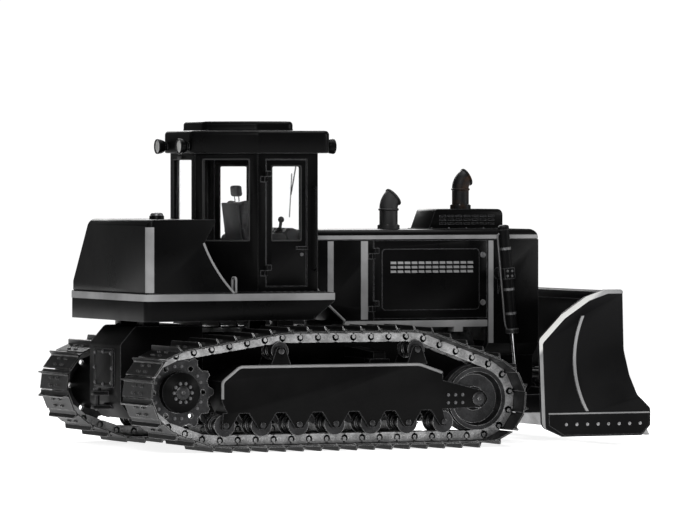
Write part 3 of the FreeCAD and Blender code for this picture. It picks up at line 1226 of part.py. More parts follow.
def tilt_barrel():
    """Tilt cylinder's barrel, hung on the tower's pin."""
    base = V(TILT_CYLINDER_X, TILT_BASE_Y, TILT_ROD_Z)
    along = V(0, 1, 0)
    tube = pin_from(base + along * 36.0, along, TILT_TUBE_RADIUS, TILT_TUBE_LENGTH)
    eye = pin_from(base - V(30.0, 0, 0), V(1, 0, 0), TILT_TUBE_RADIUS + 5.0, 60.0)
    hole = rod("x", base, TILT_BASE_PIN + PIN_CLEARANCE, 200.0)
    bore = pin_from(base + along * 110.0, along, TILT_ROD_RADIUS + PIN_CLEARANCE, TILT_TUBE_LENGTH)
    return fused([tube, eye]).cut(hole).cut(bore)


def tilt_rod():
    """Tilt cylinder's rod with the eye round the blade's pin."""
    eye_middle = V(TILT_CYLINDER_X, TILT_EYE_Y, TILT_ROD_Z)
    bar = pin_from(eye_middle - V(0, 45.0, 0), V(0, -1, 0), TILT_ROD_RADIUS, 540.0)
    eye = rod("x", eye_middle, 52.0, 50.0)
    hole = rod("x", eye_middle, TILT_EYE_PIN + TILT_EYE_PLAY, 200.0)
    return fused([bar, eye]).cut(hole)


save_pair("track", track_loop())
save_pair("track_rollers", track_rollers())
save_pair("carrier_rollers", carrier_rollers())
save_pair("idler", idler())
save_pair("sprocket", sprocket())
save_pair("final_drive", final_drive())
save_pair("track_frame", track_frame())
save("main_frame", main_frame())
save("rear_case", rear_case())
save("pivot_shaft", pivot_shaft())
save("equalizer_bar", equalizer_bar())
save("platform", platform())
save("fuel_tank", fuel_tank())
save("cab_shell", cab_shell())
save("cab_roof", cab_roof())
save("cab_glass", cab_glass())
for side, name in ((1, "left"), (-1, "right")):
    save("cab_door_" + name, cab_door(side))
    save("door_glass_" + name, door_glass(side))
save("seat_base", seat_base())
save("seat", seat_cushion())
save("consoles", consoles())
save("dashboard", dashboard())
save("hood_top", hood_top())
save("cowl", cowl())
save("side_rails", side_rails())
save_pair("engine_door", engine_door())
save("radiator_guard", radiator_guard())
save("grille", grille())
save("radiator_core", radiator_core())
save("engine", engine())
save("muffler_box", muffler_box())
save("exhaust_pipe", exhaust_pipe())
save("air_intake", air_intake())
save("work_lamps", work_lamps())
save("c_frame", c_frame())
save("blade", blade())
save("cutting_edge", cutting_edge())
save_pair("lift_barrel", lift_barrel())
save_pair("lift_rod", lift_rod())
save("tilt_barrel", tilt_barrel())
save("tilt_rod", tilt_rod())
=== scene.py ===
# %% [markdown]
# This lesson dresses a crawler bulldozer. Its frame comes from a CAD model: every plate, wheel and
# cylinder is already at its true size and place, in metres, with X to the front and Z up. What is
# left for Blender is the look: paint, worn steel, glass, and the small pieces that catch the light.

# %% Load the fixed frame
import json
import math
from contextlib import contextmanager

import bpy
from mathutils import Matrix, Vector

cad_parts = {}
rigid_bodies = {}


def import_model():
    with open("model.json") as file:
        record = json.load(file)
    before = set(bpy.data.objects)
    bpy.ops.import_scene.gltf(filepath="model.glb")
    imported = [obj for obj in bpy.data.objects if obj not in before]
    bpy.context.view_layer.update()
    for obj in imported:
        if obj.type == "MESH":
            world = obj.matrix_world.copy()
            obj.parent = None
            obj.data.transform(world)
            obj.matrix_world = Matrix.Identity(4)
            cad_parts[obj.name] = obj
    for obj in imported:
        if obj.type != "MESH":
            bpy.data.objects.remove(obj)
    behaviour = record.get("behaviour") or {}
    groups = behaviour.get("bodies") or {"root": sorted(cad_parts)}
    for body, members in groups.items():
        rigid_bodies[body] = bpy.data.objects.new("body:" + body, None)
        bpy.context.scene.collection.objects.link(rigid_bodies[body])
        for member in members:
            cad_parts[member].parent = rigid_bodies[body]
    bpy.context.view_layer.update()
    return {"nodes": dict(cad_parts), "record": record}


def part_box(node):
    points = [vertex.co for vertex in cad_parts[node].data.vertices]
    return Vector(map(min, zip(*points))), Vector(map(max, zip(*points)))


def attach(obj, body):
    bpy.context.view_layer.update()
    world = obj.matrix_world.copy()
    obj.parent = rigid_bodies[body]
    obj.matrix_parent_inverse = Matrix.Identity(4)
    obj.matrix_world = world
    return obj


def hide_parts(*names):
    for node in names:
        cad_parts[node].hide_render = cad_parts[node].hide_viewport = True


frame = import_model()
nodes = frame["nodes"]

# %% [markdown]
# The photograph is taken with a very long lens, from the machine's right rear and near the ground.
# A far camera with a long lens gives the same nearly parallel lines. Its place follows from an
# azimuth, an elevation and a distance, so that each can be changed by itself.

# %% Camera
IMAGE_WIDTH = 700
PIXELS_PER_METRE = 97.0
VIEW_AZIMUTH = math.radians(-24.0)
VIEW_ELEVATION = math.radians(0.9)
VIEW_DISTANCE = 60.0
VIEW_TARGET = Vector((0.114, 0.0, 1.928))
SENSOR = 36.0

bpy.ops.object.select_all(action="DESELECT")
away = Vector((math.sin(VIEW_AZIMUTH) * math.cos(VIEW_ELEVATION),
               -math.cos(VIEW_AZIMUTH) * math.cos(VIEW_ELEVATION),
               math.sin(VIEW_ELEVATION)))
bpy.ops.object.camera_add(location=VIEW_TARGET + away * VIEW_DISTANCE)
camera = bpy.context.object
camera.rotation_euler = (-away).to_track_quat("-Z", "Y").to_euler()
camera.data.sensor_width = SENSOR
camera.data.lens = SENSOR * VIEW_DISTANCE / (IMAGE_WIDTH / PIXELS_PER_METRE)
camera.data.clip_end = 500.0
bpy.context.scene.camera = camera
print("camera lens, mm:", round(camera.data.lens, 1))

# %% [markdown]
# Every finish below is built from shader nodes. One helper adds a node, sets its properties and
# fills its inputs, either with a number or by linking another node's output, so that a recipe reads
# from top to bottom. Patterns sit on Object coordinates: they stay on a piece when it moves.

# %% Shader helpers
def start_material(name, colour, roughness, metallic=0.0, **sockets):
    """A material with its even values set on the shader's own sockets."""
    material = bpy.data.materials.new(name)
    material.use_nodes = True
    shader = material.node_tree.nodes["Principled BSDF"]
    shader.inputs["Base Color"].default_value = (*colour, 1.0)
    shader.inputs["Roughness"].default_value = roughness
    shader.inputs["Metallic"].default_value = metallic
    for key, value in sockets.items():
        shader.inputs[key.replace("_", " ")].default_value = value
    return material


def put(material, kind, inputs=(), **settings):
    """Adds one shader node; inputs are (name or number, value or output socket)."""
    node = material.node_tree.nodes.new("ShaderNode" + kind)
    for key, value in settings.items():
        setattr(node, key, value)
    for key, value in inputs:
        if isinstance(value, bpy.types.NodeSocket):
            material.node_tree.links.new(value, node.inputs[key])
        else:
            node.inputs[key].default_value = value
    return node


def wire(material, output, socket):
    """Links an output to one of the shader's sockets."""
    shader = material.node_tree.nodes["Principled BSDF"]
    material.node_tree.links.new(output, shader.inputs[socket])


def noise(material, scale, detail=4.0, roughness=0.55, stretch=(1.0, 1.0, 1.0)):
    """Cloudy pattern on Object coordinates; scale is in features per metre."""
    place = put(material, "TexCoord").outputs["Object"]
    if stretch != (1.0, 1.0, 1.0):
        place = put(material, "Mapping", [("Vector", place), ("Scale", stretch)]).outputs["Vector"]
    cloud = put(material, "TexNoise", [("Vector", place), ("Scale", scale), ("Detail", detail),
                                       ("Roughness", roughness)])
    return cloud.outputs["Fac"]


def ramp(material, value, low, high, to_low=0.0, to_high=1.0):
    """Turns the part of a value between low and high into a smooth step."""
    step = put(material, "MapRange", [("Value", value), ("From Min", low), ("From Max", high),
                                      ("To Min", to_low), ("To Max", to_high)],
               interpolation_type="SMOOTHSTEP")
    return step.outputs["Result"]


def times(material, first, second):
    return put(material, "Math", [(0, first), (1, second)], operation="MULTIPLY").outputs[0]


def mixed(material, share, first, second):
    """Colour between first and second; either is a colour or an output."""
    values = [(*v, 1.0) if isinstance(v, tuple) else v for v in (first, second)]
    return put(material, "MixRGB", [("Fac", share), ("Color1", values[0]),
                                    ("Color2", values[1])]).outputs["Color"]


def height_mask(material, low, high):
    """1 at the ground, falling to 0 between two heights."""
    place = put(material, "TexCoord").outputs["Object"]
    height = put(material, "SeparateXYZ", [("Vector", place)]).outputs["Z"]
    return ramp(material, height, low, high, 1.0, 0.0)


def edge_mask(material, radius, low=0.02, high=0.30):
    """1 on edges: where a rounded normal turns away from the flat one."""
    round_normal = put(material, "Bevel", [("Radius", radius)], samples=4).outputs["Normal"]
    flat_normal = put(material, "NewGeometry").outputs["True Normal"]
    along = put(material, "VectorMath", [(0, round_normal), (1, flat_normal)],
                operation="DOT_PRODUCT").outputs["Value"]
    away_share = put(material, "Math", [(0, 1.0), (1, along)], operation="SUBTRACT").outputs[0]
    return ramp(material, away_share, low, high)


def bump(material, value, strength, distance, under=None):
    """Surface relief from a value; under is the normal of a coarser relief."""
    inputs = [("Height", value), ("Strength", strength), ("Distance", distance)]
    if under is not None:
        inputs.append(("Normal", under))
    return put(material, "Bump", inputs).outputs["Normal"]


# %% [markdown]
# The photograph is a near-black machine on pure white. The plain colour transform keeps those two
# as they are, where the usual filmic one would lift the black and grey the white. The camera sees a
# white world, but the machine is lit by a dim one, so that its flat sides stay dark; the floor is a
# pale sheet only as large as the picture needs, because the sides would mirror a larger one.

# %% Floor and world
FLOOR_SIZE = 34.0
FLOOR_GLOW = 0.84
WORLD_SEEN = 1.05
WORLD_LIGHT = 0.16
WHITE = (1.0, 1.0, 1.0, 1.0)

bpy.context.scene.view_settings.view_transform = "Standard"

bpy.ops.object.select_all(action="DESELECT")
bpy.ops.mesh.primitive_plane_add(size=FLOOR_SIZE, location=(0.0, 0.0, 0.0))
floor = bpy.context.object
floor.name = "studio_floor"
floor.data.materials.append(start_material("studio_white", (0.90, 0.90, 0.90), 1.0, Specular_IOR_Level=0.0,
                                           Emission_Color=WHITE, Emission_Strength=FLOOR_GLOW))

world = bpy.data.worlds.new("studio")
bpy.context.scene.world = world
world.use_nodes = True
background = world.node_tree.nodes["Background"]
background.inputs["Color"].default_value = WHITE
ray = put(world, "LightPath").outputs
seen = put(world, "Math", [(0, ray["Is Camera Ray"]), (1, ray["Is Transmission Ray"])], operation="MAXIMUM")
level = put(world, "MapRange", [("Value", seen.outputs[0]), ("To Min", WORLD_LIGHT),
                                ("To Max", WORLD_SEEN)])
world.node_tree.links.new(level.outputs["Result"], background.inputs["Strength"])

# %% [markdown]
# A black machine shows its shape by what it mirrors. Large soft panels do that: one high on the
# camera's side for the long side and its shoulders, one straight above, one ahead of the nose and
# one behind, which draws a thin light line along every upper edge.

# %% Soft panels
SOFT_PANELS = (
    # name, place, aimed at, size, watts
    ("panel_side", (-8.0, -12.0, 9.0), (0.0, 0.0, 1.2), 6.0, 900.0),
    ("panel_top", (1.0, 0.0, 12.0), (0.0, 0.0, 1.0), 8.0, 900.0),
    ("panel_front", (11.0, -7.0, 5.0), (0.5, 0.0, 1.5), 4.0, 420.0),
    ("panel_back", (3.0, 12.0, 8.0), (0.0, 0.0, 1.8), 7.0, 800.0),
)
for name, place, aim, size, watts in SOFT_PANELS:
    bpy.ops.object.light_add(type="AREA", location=place)
    panel = bpy.context.object
    panel.name = name
    panel.data.size = size
    panel.data.energy = watts
    panel.rotation_euler = (Vector(aim) - Vector(place)).to_track_quat("-Z", "Y").to_euler()

# %% [markdown]
# Machine paint is never one flat black. It is sprayed thick, so it has a slight orange peel and
# mirrors softly; it dulls in patches; it wears grey on its edges, and that grey is also a painted
# highlight along every edge; and dust settles low down. The recipe mixes these layers from masks,
# and a table of values makes five paints from one recipe.

# %% Paint
WORN_GREY_AND_EDGE_HIGHLIGHT = (0.16, 0.16, 0.165)
DUST = (0.17, 0.165, 0.155)


def paint(name, colour, roughness, wear, dust, dust_top):
    """Sprayed paint with edges grey from wear and from a painted highlight, dull patches and dust below
    dust_top.
    """
    material = start_material(name, colour, roughness, Specular_IOR_Level=0.055, Coat_Weight=0.01,
                              Coat_Roughness=0.20)
    patches = noise(material, 1.7, 5.0)
    grain = noise(material, 38.0, 3.0)
    # painted highlight: every edge turns grey, partly worn paint and partly a painted light line
    edges = times(material, edge_mask(material, 0.012),
                  ramp(material, grain, 0.30, 0.62, wear * 0.4, wear))
    low_dust = times(material, height_mask(material, 0.25, dust_top),
                     ramp(material, patches, 0.35, 0.7, 0.25, 1.0))
    tone = mixed(material, ramp(material, patches, 0.3, 0.75), colour, tuple(c * 1.7 for c in colour))
    tone = mixed(material, times(material, low_dust, dust), tone, DUST)
    wire(material, mixed(material, edges, tone, WORN_GREY_AND_EDGE_HIGHLIGHT), "Base Color")
    dull = ramp(material, patches, 0.25, 0.8, roughness * 0.85, roughness * 1.35)
    wire(material, dull, "Roughness")
    peel = bump(material, noise(material, 190.0, 2.0), 0.05, 0.002)
    wire(material, bump(material, noise(material, 3.0, 2.0), 0.12, 0.01, peel), "Normal")
    return material


PAINTS = (
    # slot, colour, roughness, edge wear and painted edge highlight, dust, dust up to
    ("body_paint", (0.0020, 0.0020, 0.0021), 0.30, 0.85, 0.008, 2.0),
    ("track_frames", (0.0022, 0.0022, 0.0023), 0.42, 0.95, 0.014, 1.2),
    ("blade_paint", (0.0020, 0.0020, 0.0022), 0.36, 0.95, 0.010, 0.9),
    ("cylinder_paint", (0.0032, 0.0032, 0.0034), 0.32, 0.90, 0.015, 1.6),
    ("grille_bars", (0.0045, 0.0045, 0.0047), 0.40, 0.80, 0.02, 2.0),
)
finish = {}
for slot, colour, roughness, wear, dust, dust_top in PAINTS:
    finish[slot] = paint(slot, colour, roughness, wear, dust, dust_top)

# %% [markdown]
# In the photograph light lines run along the deck, the tank's corner, the engine door and the
# blade's sail: trim strips in a light grey. They get the same kind of paint, lighter and drier.

# %% Light trim
TRIM_GREY = (0.185, 0.185, 0.187)
finish["light_trim"] = paint("light_trim", TRIM_GREY, 0.45, 0.15, 0.25, 1.9)

# %% [markdown]
# The blade's sail has the brightest line of all, nearly white where its rim slants: a painted highlight.
# A mask finds that slant: the direction across it gives one number for each point, which is largest
# along the rim.

# %% Sail trim with a painted highlight
sail_trim_and_painted_highlight = paint("sail_trim_and_painted_highlight", TRIM_GREY, 0.45, 0.15, 0.25, 0.9)
sail_place = put(sail_trim_and_painted_highlight, "TexCoord").outputs["Object"]
slant = put(sail_trim_and_painted_highlight, "VectorMath", [(0, sail_place), (1, (-0.9, 0.0, 1.0))],
            operation="DOT_PRODUCT").outputs["Value"]
under = sail_trim_and_painted_highlight.node_tree.nodes["Principled BSDF"].inputs["Base Color"].links[0].from_socket
# painted highlight: the light trim turns nearly white along the slanted rim
painted_highlight_on_rim = ramp(sail_trim_and_painted_highlight, slant, -0.43, -0.36)
wire(sail_trim_and_painted_highlight, mixed(sail_trim_and_painted_highlight, painted_highlight_on_rim, under, (0.60, 0.60, 0.585)), "Base Color")
finish["sail_trim_and_painted_highlight"] = sail_trim_and_painted_highlight


# %% [markdown]
# The tracks are bare cast steel: dark and scaly where nothing touches them, and rubbed bright where
# they run on rollers or bite the ground. Height can't tell one from the other all round the loop, so
# the bright parts come from edges, and the dark scale from two sizes of noise. The chain's steel is
# much lighter all over: partly worn steel, partly painted light for a chain that runs in shade.

# %% Track and wheel steel
def cast_steel(name, dark, bright, wear, rough, relief):
    material = start_material(name, dark, rough, metallic=0.75)
    scale = noise(material, 9.0, 6.0, 0.65)
    grit = noise(material, 120.0, 3.0)
    edges = times(material, edge_mask(material, 0.010, 0.01, 0.22),
                  ramp(material, scale, 0.3, 0.6, 0.45, 1.0))
    tone = mixed(material, ramp(material, scale, 0.35, 0.7), dark, tuple(c * 2.1 for c in dark))
    tone = mixed(material, ramp(material, grit, 0.60, 0.72, 0.0, 0.5), tone, DUST)
    wire(material, mixed(material, times(material, edges, wear), tone, bright), "Base Color")
    wire(material, ramp(material, edges, 0.0, 1.0, rough, rough * 0.55), "Roughness")
    coarse = bump(material, scale, 0.35, 0.006 * relief)
    wire(material, bump(material, grit, 0.30, 0.0015 * relief, coarse), "Normal")
    return material


STEELS = (
    # slot, dark tone, bright tone, wear, roughness, relief
    ("track_steel", (0.012, 0.012, 0.0125), (0.42, 0.42, 0.42), 0.95, 0.50, 1.0),
    # chain_steel: its light base tone is partly worn steel and partly painted light for the shaded chain
    ("chain_steel", (0.270, 0.270, 0.272), (0.75, 0.75, 0.75), 0.95, 0.46, 0.8),
    ("wheel_steel", (0.022, 0.022, 0.023), (0.55, 0.55, 0.55), 0.95, 0.42, 0.6),
    ("engine_metal", (0.040, 0.040, 0.040), (0.16, 0.16, 0.16), 0.60, 0.60, 1.2),
)
for slot, dark, bright, wear, rough, relief in STEELS:
    finish[slot] = cast_steel(slot, dark, bright, wear, rough, relief)


# %% [markdown]
# The cutting edge is ground bright by soil: fine scratches run up it in the digging direction. A
# noise stretched along one axis makes them. The rods are hard chrome with a thin oily film, and the
# stack is steel that heat has turned brown in patches.

# %% Bare metals
def scratched(name, colour, rough, stretch, strength):
    material = start_material(name, colour, rough, metallic=1.0)
    lines = noise(material, 55.0, 3.0, 0.6, stretch)
    film = noise(material, 2.4, 4.0)
    tone = mixed(material, ramp(material, lines, 0.35, 0.68), tuple(c * 0.62 for c in colour), colour)
    wire(material, mixed(material, ramp(material, film, 0.52, 0.75, 0.0, 0.5), tone, DUST), "Base Color")
    wire(material, ramp(material, film, 0.3, 0.7, rough * 0.7, rough * 1.5), "Roughness")
    wire(material, bump(material, lines, strength, 0.0008), "Normal")
    return material


finish["worn_edge"] = scratched("worn_edge", (0.34, 0.34, 0.345), 0.34, (1.0, 9.0, 0.6), 0.35)
finish["rod_chrome"] = scratched("rod_chrome", (0.72, 0.72, 0.74), 0.10, (6.0, 6.0, 0.5), 0.04)
finish["bolt_zinc"] = scratched("bolt_zinc", (0.20, 0.20, 0.205), 0.42, (2.0, 2.0, 2.0), 0.20)

stack = start_material("stack_steel", (0.05, 0.048, 0.046), 0.45, metallic=0.9)
heat = noise(stack, 6.0, 5.0)
rust = ramp(stack, heat, 0.48, 0.70)
wire(stack, mixed(stack, rust, (0.016, 0.016, 0.0165), (0.050, 0.030, 0.020)), "Base Color")
wire(stack, ramp(stack, heat, 0.3, 0.7, 0.35, 0.70), "Roughness")
wire(stack, bump(stack, noise(stack, 85.0, 4.0), 0.25, 0.002), "Normal")
finish["stack_steel"] = stack


# %% [markdown]
# Soil slides up the blade's face and rubs its paint away in upright streaks, most of it low down,
# where bare steel shows. The same stretched noise marks where paint ends and metal begins.

# %% Scuffed blade face
def scuffed(name, colour, bare):
    """Paint rubbed away in upright streaks, more of it towards the ground."""
    material = start_material(name, colour, 0.38, Specular_IOR_Level=0.2)
    streaks = noise(material, 14.0, 4.0, 0.5, (1.0, 4.0, 0.05))
    patches = noise(material, 2.2, 4.0)
    bald = times(material, ramp(material, streaks, 0.35, 0.72, 0.12, 0.85),
                 times(material, ramp(material, patches, 0.25, 0.65), height_mask(material, 0.25, 1.30)))
    wire(material, mixed(material, bald, colour, bare), "Base Color")
    wire(material, bald, "Metallic")
    wire(material, ramp(material, bald, 0.0, 1.0, 0.40, 0.30), "Roughness")
    wire(material, bump(material, streaks, 0.06, 0.0006), "Normal")
    return material


finish["blade_face"] = scuffed("blade_face", (0.004, 0.004, 0.0043), (0.17, 0.17, 0.175))

# %% [markdown]
# Moulded plastic has a fine leather-like texture, rubber is duller and slightly dusty, and the seat
# is vinyl with a wrinkled grain. One recipe with a cell pattern serves them all; only the size of
# the cells and the gloss differ.

# %% Plastics, rubber and vinyl
def moulded(name, colour, rough, cell, relief, sheen=0.0):
    material = start_material(name, colour, rough, Sheen_Weight=sheen)
    place = put(material, "TexCoord").outputs["Object"]
    cells = put(material, "TexVoronoi", [("Vector", place), ("Scale", cell)],
                feature="SMOOTH_F1").outputs["Distance"]
    worn = noise(material, 4.0, 4.0)
    tone = mixed(material, ramp(material, worn, 0.35, 0.75), colour, tuple(c * 1.8 + 0.004 for c in colour))
    wire(material, tone, "Base Color")
    wire(material, ramp(material, worn, 0.3, 0.8, rough * 0.85, min(1.0, rough * 1.2)), "Roughness")
    wire(material, bump(material, cells, relief, 0.001), "Normal")
    return material


MOULDED = (
    # slot, colour, roughness, cells per metre, relief, sheen
    ("intake_plastic", (0.005, 0.005, 0.0055), 0.60, 420.0, 0.25, 0.0),
    ("cab_trim", (0.020, 0.020, 0.021), 0.55, 500.0, 0.35, 0.0),
    ("seat_vinyl", (0.016, 0.016, 0.017), 0.50, 260.0, 0.45, 0.1),
    ("seal_rubber", (0.011, 0.011, 0.011), 0.70, 650.0, 0.20, 0.0),
    ("hose_rubber", (0.010, 0.010, 0.010), 0.58, 900.0, 0.30, 0.0),
)
for slot, colour, rough, cell, relief, sheen in MOULDED:
    finish[slot] = moulded(slot, colour, rough, cell, relief, sheen)

# %% [markdown]
# Cab glass is thin, clear and a little dirty. Real refraction would darken two panes in a row and
# cost render time, so it is a clear shader with a light grey tint, and a patchy film in its roughness.

# %% Glass and lamp lenses
panes = start_material("cab_panes", (0.93, 0.95, 0.96), 0.03, Transmission_Weight=1.0, IOR=1.02, Alpha=0.14)
film = ramp(panes, noise(panes, 3.0, 5.0), 0.45, 0.8, 0.02, 0.16)
wire(panes, film, "Roughness")
finish["cab_panes"] = panes

lens = start_material("lamp_glass", (0.85, 0.86, 0.86), 0.12, Transmission_Weight=0.35, IOR=1.45,
                      Coat_Weight=0.6)
ribs = put(lens, "TexWave", [("Vector", put(lens, "TexCoord").outputs["Object"]), ("Scale", 22.0),
                             ("Distortion", 0.0)], wave_type="BANDS", bands_direction="Y").outputs["Fac"]
wire(lens, bump(lens, ribs, 0.6, 0.004), "Normal")
wire(lens, mixed(lens, ramp(lens, noise(lens, 12.0), 0.4, 0.7), (0.80, 0.80, 0.79), (0.62, 0.62, 0.60)),
     "Base Color")
finish["lamp_glass"] = lens
print("finishes:", len(finish))

# %% [markdown]
# These helpers do what a hand does again and again: deselect everything, go into edit mode and back,
# add a primitive at its size and place, write that place into the mesh, put on a modifier and apply
# it, and join or copy pieces.

# %% Modelling helpers
scene_objects = bpy.context.scene.collection.objects


def pick(*pieces):
    """Selects only these pieces, the first as the active one."""
    bpy.ops.object.select_all(action="DESELECT")
    for piece in pieces:
        piece.select_set(True)
    bpy.context.view_layer.objects.active = pieces[0]


def settle(piece):
    """Writes a piece's place, turn and size into its mesh, and leaves it at the origin."""
    pick(piece)
    bpy.ops.object.transform_apply(location=True, rotation=True, scale=True)
    return piece


@contextmanager
def editing(piece):
    """Edit mode with everything selected, and object mode again at the end."""
    pick(piece)
    bpy.ops.object.mode_set(mode="EDIT")
    bpy.ops.mesh.select_all(action="SELECT")
    yield
    bpy.ops.object.mode_set(mode="OBJECT")


def modify(piece, kind, **settings):
    """Puts one modifier on a piece, sets it and applies it."""
    pick(piece)
    modifier = piece.modifiers.new("step", kind)
    for key, value in settings.items():
        setattr(modifier, key, value)
    bpy.ops.object.modifier_apply(modifier="step")
    return piece


def round_edges(piece, width, segments=2, angle=30.0):
    """Bevels the sharp edges of a finished form; a width of 0 leaves them sharp."""
    if width > 0.0:
        modify(piece, "BEVEL", width=width, segments=segments, limit_method="ANGLE",
               angle_limit=math.radians(angle), harden_normals=False)
    return piece


def linked(name, mesh):
    """A new object in the scene for a mesh."""
    piece = bpy.data.objects.new(name, mesh)
    scene_objects.link(piece)
    return piece


def drawn(name, points, closed=False, filled=False):
    """Points joined into a line or a ring of edges, or filled as one face."""
    mesh = bpy.data.meshes.new(name)
    edges = [] if filled else [(i, i + 1) for i in range(len(points) - 1)]
    if closed:
        edges.append((len(points) - 1, 0))
    faces = [list(range(len(points)))] if filled else []
    mesh.from_pydata([tuple(point) for point in points], edges, faces)
    return linked(name, mesh)


def block(name, low, high, width=0.003, segments=2):
    """Block between two corners with its edges rounded."""
    low, high = Vector(low), Vector(high)
    bpy.ops.object.select_all(action="DESELECT")
    bpy.ops.mesh.primitive_cube_add(size=1.0, location=(low + high) / 2.0)
    piece = bpy.context.object
    piece.name = name
    piece.scale = high - low
    return round_edges(settle(piece), width, segments)


def rod(name, start, end, radius, sides=24, width=0.002, end_radius=None):
    """Round bar or cone between two points with its ends rounded."""
    start, end = Vector(start), Vector(end)
    bpy.ops.object.select_all(action="DESELECT")
    bpy.ops.mesh.primitive_cone_add(vertices=sides, radius1=radius,
                                    radius2=radius if end_radius is None else end_radius,
                                    depth=(end - start).length, location=(start + end) / 2.0,
                                    rotation=(end - start).to_track_quat("Z", "Y").to_euler())
    piece = bpy.context.object
    piece.name = name
    return round_edges(settle(piece), width, 2, 40.0)


def join(name, pieces):
    """Joins pieces into one, at the origin."""
    pick(*pieces)
    if len(pieces) > 1:
        bpy.ops.object.join()
    piece = bpy.context.object
    piece.name = name
    return piece


def pipe(name, points, radius, bend=0.0, closed=False, sides=3):
    """Round tube through points with bent corners; a bend is the length taken from each side."""
    piece = drawn(name, points, closed)
    pick(piece)
    if bend > 0.0:
        with editing(piece):
            bpy.ops.mesh.bevel(offset=bend, segments=5, affect="VERTICES")
    bpy.ops.object.convert(target="CURVE")
    piece = bpy.context.object
    piece.data.bevel_depth = radius
    piece.data.bevel_resolution = sides
    piece.data.use_fill_caps = not closed
    bpy.ops.object.convert(target="MESH")
    piece = bpy.context.object
    piece.name = name
    return piece


def discard(piece):
    bpy.data.objects.remove(piece, do_unlink=True)


def copies(name, master, places):
    """Copies of a piece modelled along +Z at the origin, one at each (place, direction), as one.
    The master itself is used up."""
    made = []
    for place, direction in places:
        mesh = master.data.copy()
        turn = Vector(direction).to_track_quat("Z", "Y").to_matrix().to_4x4()
        mesh.transform(Matrix.Translation(Vector(place)) @ turn)
        made.append(linked(name, mesh))
    discard(master)
    return join(name, made)


def mirror_copy(name, piece):
    """The same piece on the machine's other side, with its faces turned the right way."""
    mesh = piece.data.copy()
    mesh.transform(Matrix.Scale(-1.0, 4, (0.0, 1.0, 0.0)))
    mesh.flip_normals()
    return linked(name, mesh)


def both_sides(piece, name):
    """A piece and its mirror copy on the other side, as one."""
    return join(name, [piece, mirror_copy(name, piece)])


def dress(piece, body, slot, material=None, angle=32.0):
    """Gives a finished piece its material, smooth shading and its body; the slot picks the finish when no
    material is named.
    """
    piece.data.materials.clear()
    piece.data.materials.append(finish[material or slot])
    pick(piece)
    bpy.ops.object.shade_smooth_by_angle(angle=math.radians(angle))
    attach(piece, body)
    return piece


# %% [markdown]
# The CAD nodes come with their record slots. Each first gets the finish of its slot, so that nothing
# is left grey. Those with sharp sheet-metal edges are then replaced by a copy whose edges are
# rounded: a real plate never ends in a knife edge, and the thin highlight along it is half the look.

# %% Finish every CAD node
node_slot = {part["node"]: part["material_slot"] for part in frame["record"]["subparts"]}
node_body = {}
for body, members in frame["record"]["behaviour"]["bodies"].items():
    for member in members:
        node_body[member] = body
for name, node in nodes.items():
    node.data.materials.clear()
    node.data.materials.append(finish[node_slot[name]])


SAME_PLACE = 0.00005
FLAT = math.radians(0.6)


def rounded(name, width):
    """A merged copy of a CAD node with its edges rounded, standing for that node."""
    piece = linked(name + "_dressed", nodes[name].data.copy())
    with editing(piece):
        bpy.ops.mesh.remove_doubles(threshold=SAME_PLACE)
        bpy.ops.mesh.dissolve_limited(angle_limit=FLAT)
    round_edges(piece, width)
    dress(piece, node_body[name], node_slot[name])
    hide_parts(name)


ROUNDED = (
    # node, width of the rounding
    ("platform", 0.008), ("fuel_tank", 0.012), ("cab_shell", 0.007), ("cab_roof", 0.018),
    ("cab_door_left", 0.006), ("cab_door_right", 0.006), ("hood_top", 0.010), ("cowl", 0.008),
    ("engine_door_left", 0.005), ("engine_door_right", 0.005), ("radiator_guard", 0.010),
    ("muffler_box", 0.010), ("side_rails", 0.006), ("rear_case", 0.010), ("main_frame", 0.006),
    ("track_frame_left", 0.008), ("track_frame_right", 0.008), ("c_frame", 0.008), ("blade", 0.006),
    ("consoles", 0.010), ("dashboard", 0.012), ("seat_base", 0.010), ("cutting_edge", 0.003),
)
for name, width in ROUNDED:
    rounded(name, width)
print("rounded:", len(ROUNDED))

# %% [markdown]
# The track is the machine's most striking part. One shoe is modelled by itself: a rolled plate with
# one tall grouser, eight bolts, and under it the two links of the chain with their pin and bushing.
# Copies of it are then led round the loop. The loop is the line through the pins, a belt drawn
# tight round the end wheels, a bend ahead of the first roller and the two carrier rollers.

# %% The line through the pins
PIN_DEPTH = 0.114
RAIL_DEPTH = 0.168
TOP_RUN = 1.250
BEND_RADIUS = 0.500
BEND_AHEAD = 0.120
SHOE_PITCH = 0.196
CARRIER_RADIUS = 0.080


def middle(name):
    """Middle of a node's box."""
    low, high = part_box(name)
    return (low + high) / 2.0


def end_wheels(name):
    """x of the rearmost and the foremost wheel of a row of equal wheels."""
    low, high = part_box(name)
    half = (high.z - low.z) / 2.0
    return low.x + half, high.x - half


track_middle = middle("track_left").y
sprocket, idler = middle("sprocket_left"), middle("idler_left")
pin_radius = idler.z - PIN_DEPTH
first_roller = end_wheels("track_rollers_left")[0]
rear_carrier, front_carrier = end_wheels("carrier_rollers_left")
carrier_pin_radius = CARRIER_RADIUS + RAIL_DEPTH - PIN_DEPTH
carrier_height = TOP_RUN - RAIL_DEPTH - CARRIER_RADIUS
WHEELS = (
    # x, z, radius of the pin line
    (sprocket.x, sprocket.z, pin_radius),
    (first_roller - BEND_AHEAD, PIN_DEPTH + BEND_RADIUS, BEND_RADIUS),
    (idler.x, idler.z, pin_radius),
    (front_carrier, carrier_height, carrier_pin_radius),
    (rear_carrier, carrier_height, carrier_pin_radius),
)


